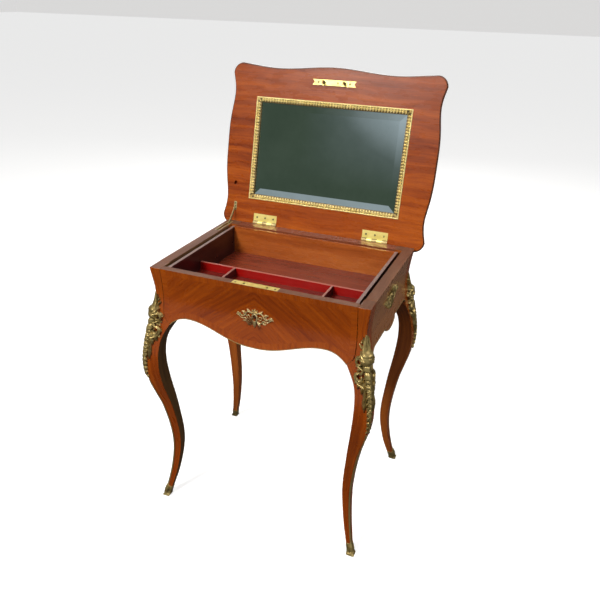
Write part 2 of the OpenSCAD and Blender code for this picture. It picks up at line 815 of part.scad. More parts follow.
// Bolt: a bar with two tongues that shoot through the staples, and a tail down to the key
module lock_bolt() {
    staple_y = hinge_y - strike_s;
    bar_y = case_y - 3.8;
    bar_t = 2;
    tongue = 1.6;
    color(steel) in_row() {
        box([-staple_x - 12.5, bar_y, bolt_z - 8], [staple_x - 6, bar_y + bar_t, bolt_z - 2]);
        box([-3, bar_y, key_z + 12], [3, bar_y + bar_t, bolt_z - 2]);
        for (sx = [-1, 1]) translate([sx * staple_x, 0, 0]) {
            box([-12.5, staple_y - tongue, bolt_z - 8], [-10.5, bar_y + bar_t, bolt_z + tongue]);
            box([-12.5, staple_y - tongue, bolt_z - tongue], [-3, staple_y + tongue, bolt_z + tongue]);
        }
    }
}
module escutcheon() {
    color(gilt) in_row() difference() {
        intersection() {
            translate([0, -half_d + 20, key_z - 3]) rotate([90, 0, 0]) linear_extrude(height = 40)
                scroll_outline();
            slab_x(-60, 60, concat(
                [for (z = heights(600, 670)) [-outer_y(z) - mount_t, z]],
                reversed([for (z = heights(600, 670)) [-outer_y(z), z]])
            ));
        }
        translate([0, front_y, key_z]) rotate([90, 0, 0]) cylinder(r = 3, h = 60);
        box([-1.8, -half_d - 40, key_z - 9], [1.8, front_y, key_z]);
    }
}
// Key: bit inside the case, round shank and a pierced bow
module key() {
    bow_y = -half_d - key_reach;
    tip_y = case_y - 2;
    color(steel) in_row() translate([0, 0, key_z]) {
        translate([0, tip_y, 0]) rotate([90, 0, 0]) cylinder(r = 2, h = tip_y - bow_y - 8);
        rotate([0, -45, 0]) box([-0.8, case_y - 6.5, 0], [0.8, case_y - 2.5, 9.5]);
        translate([0, bow_y, 0]) rotate([0, 45, 0]) difference() {
            translate([0, 0, -1.5]) cylinder(r = key_bow_r, h = 3);
            for (sx = [-1, 1]) translate([sx * 4.2, -0.8, -3]) cylinder(r = 3.1, h = 6);
        }
    }
}

leg(-1, -1);  // leg_front_left
leg(1, -1);  // leg_front_right
leg(-1, 1);  // leg_back_left
leg(1, 1);  // leg_back_right
side_panel_left();
side_panel_right();
back_panel();
hinge_rail();
front_rail();
runner(-1);  // runner_left
runner(1);  // runner_right
corner_mount(-1, -1);  // corner_mount_front_left
corner_mount(1, -1);  // corner_mount_front_right
corner_mount(-1, 1);  // corner_mount_back_left
corner_mount(1, 1);  // corner_mount_back_right
sabot(-1, -1);  // sabot_front_left
sabot(1, -1);  // sabot_front_right
sabot(-1, 1);  // sabot_back_left
sabot(1, 1);  // sabot_back_right
leg_fillets();
side_edgings();
side_mount(-1);  // side_mount_left
side_mount(1);  // side_mount_right
hinge_fixed(-1);  // hinge_fixed_left
hinge_fixed(1);  // hinge_fixed_right
hinge_pins();
stay_track();
screws_case();
lid_panel();
mirror_backboard();
mirror_glass();
frame_side(180, frame_w, frame_h / 2);  // mirror_frame_top
frame_side(0, frame_w, frame_h / 2);  // mirror_frame_bottom
frame_side(-90, frame_h, frame_w / 2);  // mirror_frame_left
frame_side(90, frame_h, frame_w / 2);  // mirror_frame_right
hinge_leaf(-1);  // hinge_leaf_left
hinge_leaf(1);  // hinge_leaf_right
strike_plate();
strike_staples();
stay_bracket();
screws_lid();
stay_arm();
drawer_front();
drawer_side(-1);  // drawer_side_left
drawer_side(1);  // drawer_side_right
drawer_back();
drawer_floor();
divider_long();
divider_cross(-1);  // divider_left
divider_cross(1);  // divider_right
tray_floor_board();
lock_case();
lock_selvedge();
escutcheon();
drawer_edging();
screws_drawer();
lock_bolt();
key();
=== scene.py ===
import bpy
import bmesh
import math
from mathutils import Matrix, Vector


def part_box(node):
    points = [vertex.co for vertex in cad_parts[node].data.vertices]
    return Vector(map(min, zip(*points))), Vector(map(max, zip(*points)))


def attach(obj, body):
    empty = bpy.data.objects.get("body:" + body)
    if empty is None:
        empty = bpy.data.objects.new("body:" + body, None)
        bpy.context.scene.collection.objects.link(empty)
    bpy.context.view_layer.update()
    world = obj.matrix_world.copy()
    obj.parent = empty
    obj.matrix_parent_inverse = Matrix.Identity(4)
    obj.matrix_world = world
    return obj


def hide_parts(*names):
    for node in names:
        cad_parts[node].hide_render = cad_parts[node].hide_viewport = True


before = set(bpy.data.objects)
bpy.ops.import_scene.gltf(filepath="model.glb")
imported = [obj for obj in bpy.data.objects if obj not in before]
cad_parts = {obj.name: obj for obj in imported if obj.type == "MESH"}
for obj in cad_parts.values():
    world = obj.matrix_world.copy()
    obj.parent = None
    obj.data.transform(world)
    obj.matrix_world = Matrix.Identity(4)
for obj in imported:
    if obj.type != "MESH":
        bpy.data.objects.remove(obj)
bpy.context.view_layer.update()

# Everything below is written in millimetres in the case's own frame: X across, Y from the middle
# of the case to the back, Z up. MID_Y carries it into the row frame.
MM = 0.001
side_lo, side_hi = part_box("side_panel_left")
MID_Y = (side_lo.y + side_hi.y) / 2 / MM
HALF_W = 286.0
HALF_D = 207.0
RIM = 720.0
POST = 48.0
SIDE_SPAN = HALF_D - POST
SIDE_T = 27.0
FRONT_W = 255.5
FRONT_Y = -HALF_D + 20.0
BACK_RAIL_Y = HALF_D - 31.0
HORN_Z = 570.0
LID_OPEN = math.radians(102.7)
HINGE_Y = HALF_D + 8.5
HINGE_Z = RIM + 0.4

OUTER = [(0, 3), (100, -15.5), (190, -21), (300, -7), (400, 18.5),
         (455, 22.5), (520, 13.5), (580, 0), (645, -7.5), (720, 0)]
INNER = [(0, -10), (92, -33), (190, -44.5), (300, -36), (413, -21), (475, -18), (525, -25), (570, -48)]


def curve(knots, z):
    """The CAD's smooth curve through a list of knots."""
    i = 0
    while i < len(knots) - 2 and z >= knots[i + 1][0]:
        i += 1

    def tangent(j):
        a, b = knots[max(j - 1, 0)], knots[min(j + 1, len(knots) - 1)]
        return (b[1] - a[1]) / (b[0] - a[0])

    h = knots[i + 1][0] - knots[i][0]
    t = (z - knots[i][0]) / h
    ease = t * t * (3 - 2 * t)
    return (knots[i][1] * (1 - ease) + knots[i + 1][1] * ease
            + h * t * (1 - t) * ((1 - t) * tangent(i) - t * tangent(i + 1)))


def splay(z):
    """How far the feet stand out to the front and back."""
    return 10 * max(0, 1 - z / 400)


def outer_x(z):
    return HALF_W + curve(OUTER, z)


def outer_y(z):
    return HALF_D + curve(OUTER, z) + splay(z)


def inner_x(z):
    return HALF_W + curve(INNER, min(z, HORN_Z))


def inner_y(z):
    return HALF_D + curve(INNER, min(z, HORN_Z)) + splay(z)


SEAM = [(570.5, 238), (576.5, 243), (580, 248), (584, 252), (590, 254.5), (598, 255.5)]


def seam_x(z):
    """Where the drawer front meets the leg."""
    if z <= SEAM[0][0]:
        return SEAM[0][1]
    for (z0, x0), (z1, x1) in zip(SEAM, SEAM[1:]):
        if z <= z1:
            return x0 + (x1 - x0) * (z - z0) / (z1 - z0)
    return SEAM[-1][1]


def arch(x):
    """Lower outline of the front and the back."""
    x = abs(x)
    if x < 182:
        return 560 + 35.5 * ((1 - math.cos(math.pi * x / 182)) / 2) ** 1.25
    return 595.5 - 25 * ((x - 182) / 56) ** 2.3


def side_arch(y):
    """Lower outline of a side panel, with the lobe in its middle."""
    v = abs(y)
    if v < 44:
        return 578.5 + 10 * (v / 44) ** 2.2
    if v < SIDE_SPAN - 26:
        return 595
    return 595 - 14 * ((v - SIDE_SPAN + 26) / 26) ** 2.5


def steps(a, b, n):
    """n + 1 even values from a to b."""
    return [a + (b - a) * i / n for i in range(n + 1)]


def place(p):
    """A point in millimetres in the case's frame, in the row frame in metres."""
    return Vector((p[0] * MM, (p[1] + MID_Y) * MM, p[2] * MM))


def lid_point(x, s, n):
    """A point of the lid: X, distance from the hinge line, distance out of the inner face."""
    return (x, HINGE_Y - s * math.cos(LID_OPEN) - n * math.sin(LID_OPEN),
            HINGE_Z + s * math.sin(LID_OPEN) - n * math.cos(LID_OPEN))


# ---------------------------------------------------------------- materials

class Nodes:
    """Short names for building one node material."""

    def __init__(self, name):
        self.mat = bpy.data.materials.new(name)
        self.mat.use_nodes = True
        self.tree = self.mat.node_tree
        self.bsdf = self.tree.nodes["Principled BSDF"]

    def node(self, kind, **values):
        n = self.tree.nodes.new(kind)
        for key, value in values.items():
            setattr(n, key, value)
        return n

    def link(self, a, b):
        self.tree.links.new(a, b)

    def math(self, op, a, b=None, clamp=False):
        n = self.node("ShaderNodeMath", operation=op, use_clamp=clamp)
        for socket, value in zip(n.inputs, (a, b)):
            if value is None:
                continue
            if isinstance(value, (int, float)):
                socket.default_value = value
            else:
                self.link(value, socket)
        return n.outputs[0]

    def ramp(self, value, stops):
        n = self.node("ShaderNodeValToRGB")
        ramp = n.color_ramp.elements
        while len(ramp) < len(stops):
            ramp.new(0.5)
        for e, (pos, col) in zip(ramp, stops):
            e.position = pos
            e.color = (*col, 1)
        self.link(value, n.inputs[0])
        return n.outputs[0]

    def noise(self, vector, scale, detail=3.0, rough=0.55):
        m = self.node("ShaderNodeMapping")
        m.inputs["Scale"].default_value = scale
        self.link(vector, m.inputs["Vector"])
        n = self.node("ShaderNodeTexNoise")
        n.inputs["Scale"].default_value = 1.0
        n.inputs["Detail"].default_value = detail
        n.inputs["Roughness"].default_value = rough
        self.link(m.outputs[0], n.inputs["Vector"])
        return n.outputs["Fac"]

    def mix(self, fac, a, b, blend="MIX"):
        n = self.node("ShaderNodeMix", data_type="RGBA", blend_type=blend)
        for socket, value in ((n.inputs[0], fac), (n.inputs[6], a), (n.inputs[7], b)):
            if isinstance(value, (int, float)):
                socket.default_value = value
            elif isinstance(value, tuple):
                socket.default_value = (*value, 1)
            else:
                self.link(value, socket)
        return n.outputs[2]

    def bump(self, height, strength, distance):
        n = self.node("ShaderNodeBump")
        n.inputs["Strength"].default_value = strength
        n.inputs["Distance"].default_value = distance
        self.link(height, n.inputs["Height"])
        self.link(n.outputs[0], self.bsdf.inputs["Normal"])

    def set(self, **values):
        for key, value in values.items():
            socket = self.bsdf.inputs[key.replace("_", " ")]
            if isinstance(value, (int, float, tuple)):
                socket.default_value = value
            else:
                self.link(value, socket)


def wood(name, dark, mid, light, grain="uv", streak=110.0, gloss=0.28, coat=0.35, seed=0.0,
         contrast=1.0, figure=16.0, fold=None, lit_top_edge=None, stain_and_sheen=None):
    """Polished veneer or board. grain is "uv" (U along the grain, metres) or an axis of the row frame.
    fold = (middle U, middle V, slope) lays four matched quarters about that middle.
    lit_top_edge = (height, colour) paints the top of a thin board lighter, a painted highlight where light
    falls on it; stain_and_sheen deepens the whole of it: a stain, and on the rim top a painted sheen."""
    k = Nodes(name)
    coords = k.node("ShaderNodeTexCoord")
    base = coords.outputs["UV" if grain == "uv" else "Object"]
    if fold:
        parts = k.node("ShaderNodeSeparateXYZ")
        k.link(base, parts.inputs[0])
        u = k.math("ABSOLUTE", k.math("SUBTRACT", parts.outputs[0], fold[0]))
        v = k.math("ABSOLUTE", k.math("SUBTRACT", parts.outputs[1], fold[1]))
        ca, sa = math.cos(fold[2]), math.sin(fold[2])
        joined = k.node("ShaderNodeCombineXYZ")
        turned_u = k.math("SUBTRACT", k.math("MULTIPLY", u, ca), k.math("MULTIPLY", v, sa))
        turned_v = k.math("ADD", k.math("MULTIPLY", u, sa), k.math("MULTIPLY", v, ca))
        k.link(turned_u, joined.inputs[0])
        k.link(turned_v, joined.inputs[1])
        base = joined.outputs[0]
    shift = k.node("ShaderNodeVectorMath", operation="ADD")
    shift.inputs[1].default_value = (seed, seed * 0.7, seed * 0.3)
    k.link(base, shift.inputs[0])
    warp = k.node("ShaderNodeTexNoise")
    warp.inputs["Scale"].default_value = 7.0
    warp.inputs["Detail"].default_value = 2.0
    k.link(shift.outputs[0], warp.inputs["Vector"])
    centred = k.node("ShaderNodeVectorMath", operation="SUBTRACT")
    centred.inputs[1].default_value = (0.5, 0.5, 0.5)
    k.link(warp.outputs["Color"], centred.inputs[0])
    small = k.node("ShaderNodeVectorMath", operation="SCALE")
    small.inputs["Scale"].default_value = 0.022
    k.link(centred.outputs[0], small.inputs[0])
    moved = k.node("ShaderNodeVectorMath", operation="ADD")
    k.link(shift.outputs[0], moved.inputs[0])
    k.link(small.outputs[0], moved.inputs[1])
    along = {"uv": 0, "x": 0, "y": 1, "z": 2}[grain]

    def scale(a, c):
        return tuple(a if i == along else c for i in range(3))

    p = moved.outputs[0]
    broad = k.noise(p, scale(2.2, figure), 3.0)
    bands = k.noise(p, scale(3.0, streak), 4.0, 0.62)
    fibre = k.noise(p, scale(9.0, streak * 6), 3.0, 0.6)
    pores = k.noise(p, scale(90.0, 2300.0), 2.0, 0.5)
    tone = k.math("ADD", k.math("MULTIPLY", broad, 0.75), k.math("MULTIPLY", bands, 1.05))
    tone = k.math("ADD", tone, k.math("MULTIPLY", fibre, 0.5))
    tone = k.math("SUBTRACT", tone, 1.15 - 0.5 / contrast)
    tone = k.math("MULTIPLY", tone, contrast, clamp=True)
    colour = k.ramp(tone, [(0.12, dark), (0.5, mid), (0.9, light)])
    pore = k.ramp(pores, [(0.60, (1, 1, 1)), (0.72, (0.45, 0.40, 0.38))])
    colour = k.mix(1.0, colour, pore, "MULTIPLY")
    # Painted highlight: above the given height the board's top face is coloured lighter, as lit from above.
    if lit_top_edge:
        place_z = k.node("ShaderNodeSeparateXYZ")
        k.link(coords.outputs["Object"], place_z.inputs[0])
        above = k.math("GREATER_THAN", place_z.outputs[2], lit_top_edge[0])
        colour = k.mix(above, colour, lit_top_edge[1])
    if stain_and_sheen:
        colour = k.mix(1.0, colour, stain_and_sheen, "MULTIPLY")
    k.set(Base_Color=colour, Coat_Weight=coat, Coat_Roughness=0.10, IOR=1.5, Specular_IOR_Level=0.28)
    rough = k.math("ADD", k.math("MULTIPLY", k.noise(p, scale(20, 60), 3.0), 0.16), gloss - 0.08)
    k.set(Roughness=rough)
    k.bump(k.math("ADD", k.math("MULTIPLY", fibre, 0.6), k.math("MULTIPLY", pores, 0.4)), 0.12, 0.0004)
    return k.mat


def metal(name, low, high, spots, rough=0.3, grime=1.0, metallic=0.92, scale=55.0):
    """Cast or rolled brass, bronze or steel with dirt in its hollows and worn bright edges."""
    k = Nodes(name)
    coords = k.node("ShaderNodeTexCoord")
    geometry = k.node("ShaderNodeNewGeometry")
    p = coords.outputs["Object"]
    cloud = k.noise(p, (scale, scale, scale), 4.0, 0.6)
    grain = k.noise(p, (scale * 14,) * 3, 3.0, 0.6)
    colour = k.ramp(cloud, [(0.3, low), (0.7, high)])
    hollow = k.ramp(geometry.outputs["Pointiness"], [(0.42, (1, 1, 1)), (0.53, (0, 0, 0))])
    colour = k.mix(k.math("MULTIPLY", hollow, 0.8 * grime), colour, spots)
    edge = k.ramp(geometry.outputs["Pointiness"], [(0.53, (0, 0, 0)), (0.66, (1, 1, 1))])
    colour = k.mix(k.math("MULTIPLY", edge, 0.6), colour, tuple(min(1, c * 1.35) for c in high))
    k.set(Base_Color=colour, Metallic=metallic)
    k.set(Roughness=k.math("ADD", k.math("MULTIPLY", grain, 0.25), rough - 0.1))
    k.bump(grain, 0.10, 0.0004)
    return k.mat


def mirror_material(name):
    """Old silvering under glass, a little cloudy and specked all over."""
    k = Nodes(name)
    coords = k.node("ShaderNodeTexCoord")
    p = coords.outputs["Object"]
    cloud = k.noise(p, (9, 9, 9), 4.0, 0.6)
    specks = k.noise(p, (420, 420, 420), 2.0, 0.5)
    colour = k.ramp(cloud, [(0.3, (0.60, 0.66, 0.64)), (0.7, (0.72, 0.77, 0.76))])
    spot = k.ramp(specks, [(0.74, (1, 1, 1)), (0.80, (0.55, 0.56, 0.52))])
    colour = k.mix(1.0, colour, spot, "MULTIPLY")
    k.set(Base_Color=colour, Metallic=1.0)
    k.set(Roughness=k.math("MULTIPLY", cloud, 0.05))
    return k.mat


VENEER = ((0.19, 0.030, 0.002), (0.36, 0.078, 0.004), (0.52, 0.135, 0.008))
front_wood = wood("veneer_front", *VENEER, seed=1.3, streak=170, contrast=1.15, coat=0.2,
                  stain_and_sheen=(0.66, 0.52, 0.34))
band_wood = wood("veneer_band", (0.22, 0.036, 0.002), (0.40, 0.092, 0.005), (0.54, 0.145, 0.010),
                 seed=4.1, streak=150, contrast=0.9, coat=0.2, stain_and_sheen=(0.66, 0.52, 0.34))
leg_wood = wood("veneer_leg", (0.17, 0.026, 0.002), (0.33, 0.068, 0.004), (0.50, 0.125, 0.009),
                seed=7.7, streak=110, coat=0.2, stain_and_sheen=(0.76, 0.66, 0.46))
inner_leg_wood = wood("leg_inside", (0.14, 0.028, 0.004), (0.28, 0.066, 0.008), (0.42, 0.115, 0.014),
                      seed=2.2, streak=95, coat=0.1, gloss=0.42)
# Painted shade: the front legs' inner faces are coloured dark for the shade they stand in.
shaded_leg_wood = wood("leg_shaded", (0.045, 0.020, 0.005), (0.105, 0.048, 0.012), (0.17, 0.08, 0.02),
                       seed=2.9, streak=95, coat=0.08, gloss=0.45)
# The side veneer is painted paler and greyer than the front: a painted sky sheen over its own tone.
side_wood = wood("veneer_side_painted_sheen", (0.19, 0.062, 0.017), (0.30, 0.108, 0.033), (0.41, 0.165, 0.055),
                 seed=9.4, streak=100, coat=0.4, contrast=0.8)
# The rim top's own brown wood; its mauve stain_and_sheen is a painted sky sheen on the polished top.
rim_wood = wood("rim_top", (0.15, 0.066, 0.028), (0.24, 0.112, 0.052), (0.34, 0.17, 0.085),
                seed=3.6, streak=120, coat=0.08, gloss=0.45, stain_and_sheen=(0.62, 0.56, 0.66))
lid_wood = wood("lid_inner", (0.17, 0.028, 0.003), (0.34, 0.076, 0.006), (0.52, 0.145, 0.014),
                seed=5.9, streak=60, contrast=1.3, figure=10, coat=0.06,
                stain_and_sheen=(0.80, 0.62, 0.38))
LID_MID = 217.5
lid_top_wood = wood("lid_outer", *VENEER, seed=6.6, streak=120, contrast=1.1,
                    fold=(0.0, LID_MID * MM, math.radians(40)))
edge_wood = wood("lid_edge", (0.035, 0.009, 0.003), (0.085, 0.022, 0.005), (0.16, 0.045, 0.010),
                 seed=8.8)
plain = {a: wood("plain_wood_" + a, (0.06, 0.024, 0.010), (0.135, 0.060, 0.024), (0.23, 0.11, 0.045),
                 grain=a, coat=0.05, gloss=0.45, seed=1.9) for a in "xy"}
box_wood = wood("box_wood_x", (0.17, 0.030, 0.006), (0.34, 0.082, 0.014), (0.46, 0.140, 0.028),
                grain="x", seed=2.7, streak=60, figure=8)
dark_red = wood("box_red_x", (0.07, 0.010, 0.005), (0.16, 0.026, 0.012), (0.25, 0.050, 0.022),
                grain="x", seed=3.3, coat=0.4, gloss=0.2)
# Heights in metres above which the thin boards' top faces are painted lighter, a painted highlight where
# light falls on them
BOX_EDGE = 0.7160
DIVIDER_EDGE = 0.6788
# Painted shade: the drawer's side boards are coloured near black for the shade inside the box.
shade_wood = wood("box_side_painted_shade", (0.008, 0.002, 0.002), (0.020, 0.004, 0.004), (0.04, 0.009, 0.007),
                  grain="y", seed=3.8, coat=0.2, gloss=0.3, lit_top_edge=(BOX_EDGE, (0.22, 0.14, 0.12)))
# Painted shade: the cross dividers are coloured near black for the shade on their faces.
cross_wood = wood("cross_divider_painted_shade", (0.010, 0.002, 0.002), (0.028, 0.004, 0.004), (0.05, 0.009, 0.007),
                  grain="y", seed=2.8, coat=0.2, gloss=0.3, lit_top_edge=(DIVIDER_EDGE, (0.30, 0.13, 0.10)))
red = wood("red_stain_x", (0.14, 0.001, 0.001), (0.27, 0.004, 0.003), (0.38, 0.012, 0.007), grain="x",
           seed=4.7, coat=0.4, gloss=0.22, contrast=0.7, lit_top_edge=(DIVIDER_EDGE, (0.42, 0.13, 0.10)))
# The tray floor's red stain, darkened further as painted shade in the compartments.
tray_wood = wood("tray_stain_and_painted_shade", (0.045, 0.004, 0.003), (0.11, 0.009, 0.006), (0.19, 0.024, 0.014),
                 grain="x", seed=6.6, coat=0.4, gloss=0.22)
mount_gilt = metal("mount_gilt", (0.40, 0.27, 0.09), (0.86, 0.68, 0.36), (0.040, 0.028, 0.012),
                   0.27, 1.2, 0.75)
gilt = metal("gilt_bronze", (0.17, 0.115, 0.034), (0.50, 0.37, 0.14), (0.022, 0.016, 0.006),
             0.29, 1.2, 0.72, scale=95.0)
frame_gilt = metal("frame_gilt", (0.66, 0.47, 0.14), (0.92, 0.74, 0.34), (0.14, 0.085, 0.025),
                   0.32, 0.8, 0.5)
# Painted shade: the sunk ground between the frame's leaves is coloured dark for the shade there.
frame_ground_painted_shade = metal("frame_ground_painted_shade", (0.10, 0.06, 0.02), (0.18, 0.12, 0.04), (0.04, 0.025, 0.01),
                     0.45, 0.9, 0.5)
brass = metal("brass", (0.72, 0.54, 0.13), (0.90, 0.74, 0.26), (0.25, 0.17, 0.05), 0.32, 0.4, 0.5)
dull_brass = metal("dull_brass", (0.26, 0.20, 0.08), (0.42, 0.33, 0.15), (0.08, 0.06, 0.03),
                   0.40, 0.6, 0.6)
screw_brass = metal("screw_brass", (0.055, 0.050, 0.018), (0.13, 0.11, 0.045), (0.03, 0.02, 0.01),
                    0.42, 0.6, 0.6)
bronze = metal("bronze", (0.11, 0.060, 0.025), (0.24, 0.14, 0.06), (0.04, 0.025, 0.015), 0.36, 0.8, 0.8)
line_brass = metal("line_brass", (0.34, 0.23, 0.08), (0.52, 0.38, 0.16), (0.08, 0.05, 0.02), 0.38, 0.5)
steel = metal("steel", (0.20, 0.19, 0.17), (0.42, 0.40, 0.37), (0.08, 0.06, 0.04), 0.34, 0.8)
mirror = mirror_material("mirror")


# ---------------------------------------------------------------- meshes

def new_object(name, verts, faces, mats, uvs=None, indices=None, smooth=35.0):
    mesh = bpy.data.meshes.new(name)
    mesh.from_pydata([place(v) for v in verts], [], faces)
    for m in mats:
        mesh.materials.append(m)
    if indices:
        mesh.polygons.foreach_set("material_index", indices)
    if uvs:
        layer = mesh.uv_layers.new(name="grain")
        flat = [c * MM for face in uvs for uv in face for c in uv]
        layer.data.foreach_set("uv", flat)
    mesh.validate()
    obj = bpy.data.objects.new(name, mesh)
    bpy.context.scene.collection.objects.link(obj)
    finish_shading(obj, smooth)
    return obj


def finish_shading(obj, angle):
    """Smooth shading, with edges sharper than angle kept crisp."""
    for poly in obj.data.polygons:
        poly.use_smooth = True
    obj.data.set_sharp_from_angle(angle=math.radians(angle))


def outward(obj):
    """Turns every face to look out of its closed shell."""
    bm = bmesh.new()
    bm.from_mesh(obj.data)
    bmesh.ops.recalc_face_normals(bm, faces=bm.faces)
    bm.to_mesh(obj.data)
    bm.free()


def bevel(obj, width):
    """Eased edges, width in millimetres."""
    m = obj.modifiers.new("bevel", "BEVEL")
    m.width = width * MM
    m.segments = 2
    m.limit_method = "ANGLE"
    m.angle_limit = math.radians(40)
    m.use_clamp_overlap = True
    return obj


def box_mesh(name, lo, hi):
    xs, ys, zs = zip(lo, hi)
    verts = [(x, y, z) for x in xs for y in ys for z in zs]
    faces = [(0, 1, 3, 2), (4, 6, 7, 5), (0, 4, 5, 1), (2, 3, 7, 6), (0, 2, 6, 4), (1, 5, 7, 3)]
    return new_object(name, verts, faces, [])


def bands(rings, n):
    """Faces between stacked rings of n points each."""
    return [(i * n + j, i * n + (j + 1) % n, (i + 1) * n + (j + 1) % n, (i + 1) * n + j)
            for i in range(rings - 1) for j in range(n)]


def circle(r, sides=24):
    return [(r * math.cos(2 * math.pi * i / sides), r * math.sin(2 * math.pi * i / sides))
            for i in range(sides)]


def prism(name, start, end):
    """A closed bar between the matching outlines at its two ends."""
    n = len(start)
    faces = [tuple(range(n)), tuple(range(2 * n - 1, n - 1, -1))]
    faces += [(i, (i + 1) % n, n + (i + 1) % n, n + i) for i in range(n)]
    return new_object(name, start + end, faces, [])


def subtract(obj, cutters):
    """Cuts closed shapes out of obj and keeps the result as its mesh."""
    for c in cutters:
        outward(c)
        m = obj.modifiers.new("cut", "BOOLEAN")
        m.operation = "DIFFERENCE"
        m.solver = "EXACT"
        m.object = c
    graph = bpy.context.evaluated_depsgraph_get()
    mesh = bpy.data.meshes.new_from_object(obj.evaluated_get(graph))
    obj.modifiers.clear()
    old = obj.data
    obj.data = mesh
    bpy.data.meshes.remove(old)
    for c in cutters:
        bpy.data.objects.remove(c)


def planar_uv(obj, along, across, origin=(0, 0, 0)):
    """Lays the grain over every face of obj by two directions in the row frame."""
    layer = obj.data.uv_layers.get("grain") or obj.data.uv_layers.new(name="grain")
    a, c, o = Vector(along), Vector(across), Vector(origin)
    for loop in obj.data.loops:
        p = obj.data.vertices[loop.vertex_index].co - o
        layer.data[loop.index].uv = (p.dot(a), p.dot(c))


def done(obj, body, slot, *nodes):
    """Fixes a piece to its body and hides the CAD nodes it stands for; slot is not used."""
    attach(obj, body)
    if nodes:
        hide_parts(*nodes)
    return obj


# Legs: stacked sections, with the edge to the drawer at the front and the notch at the back

def leg(name, sx, sy):
    front = sy < 0
    shoulder = 612
    zs = sorted(set(steps(3, HORN_Z, 142) + steps(HORN_Z, 600, 20)
                    + [shoulder - 0.01, shoulder + 0.01] + steps(600, RIM, 24)))
    rings = []
    for z in zs:
        ox, oy, iy = outer_x(z), outer_y(z), inner_y(z)
        ix = inner_x(z) if z <= HORN_Z or not front else seam_x(z) + 1
        if front or z < shoulder:
            nx, ny = ix + 4, iy + 4
            ring = [(ox, oy), (ix, oy), (ix, ny), (ix, iy), (nx, iy), (ox, iy)]
        else:
            ring = [(ox, oy), (ix, oy), (ix, BACK_RAIL_Y), (HALF_W - SIDE_T, BACK_RAIL_Y),
                    (HALF_W - SIDE_T, iy), (ox, iy)]
        rings.append([(sx * x, sy * y, z) for x, y in ring])
    n = 6
    verts = [p for ring in rings for p in ring]
    faces, uvs, index = [], [], []
    run = 0.0
    lengths = [0.0]
    for a, b in zip(rings, rings[1:]):
        run += (Vector(b[0]) - Vector(a[0])).length
        lengths.append(run)
    across = [0, 48, 90, 96, 100, 150, 200]
    for i in range(len(rings) - 1):
        for j in range(n):
            nxt = (j + 1) % n
            faces.append((i * n + j, i * n + nxt, (i + 1) * n + nxt, (i + 1) * n + j))
            c0, c1 = across[j], across[j + 1]
            uvs.append([(lengths[i], c0), (lengths[i], c1), (lengths[i + 1], c1), (lengths[i + 1], c0)])
            index.append(1 if 1 <= j <= 4 else 0)
    top = (len(rings) - 1) * n
    faces.append(tuple(range(n)))
    uvs.append([(0, 0)] * n)
    index.append(1)
    faces.append(tuple(top + j for j in range(n)))
    uvs.append([(rings[-1][j][1], rings[-1][j][0]) for j in range(n)])
    index.append(2)
    # The front legs' inner faces take the painted shade; the back legs' inner faces a less polished veneer.
    inner = shaded_leg_wood if front else inner_leg_wood
    obj = new_object(name, verts, faces, [leg_wood, inner, rim_wood], uvs, index)
    outward(obj)
    return obj


def track_cutters(bed_y, slot_y):
    """Room in the left rim for the stay's track: a shallow bed and the deep slot under it."""
    return [box_mesh("c1", (-277.5, bed_y, RIM - 2), (-262.5, 197, RIM + 5)),
            box_mesh("c2", (-273.5, slot_y, RIM - 14), (-266.5, 192, RIM + 5))]


for sx, x_name in ((-1, "left"), (1, "right")):
    for sy, y_name in ((-1, "front"), (1, "back")):
        piece = leg(f"leg_{y_name}_{x_name}_veneered", sx, sy)
        if sx < 0 and sy > 0:
            subtract(piece, track_cutters(100, 100))
        bevel(piece, 1.1)
        done(piece, "carcass", "veneer", f"leg_{y_name}_{x_name}")


# Curved panels: a grid between a lower outline and the rim, with a border band and a flat back

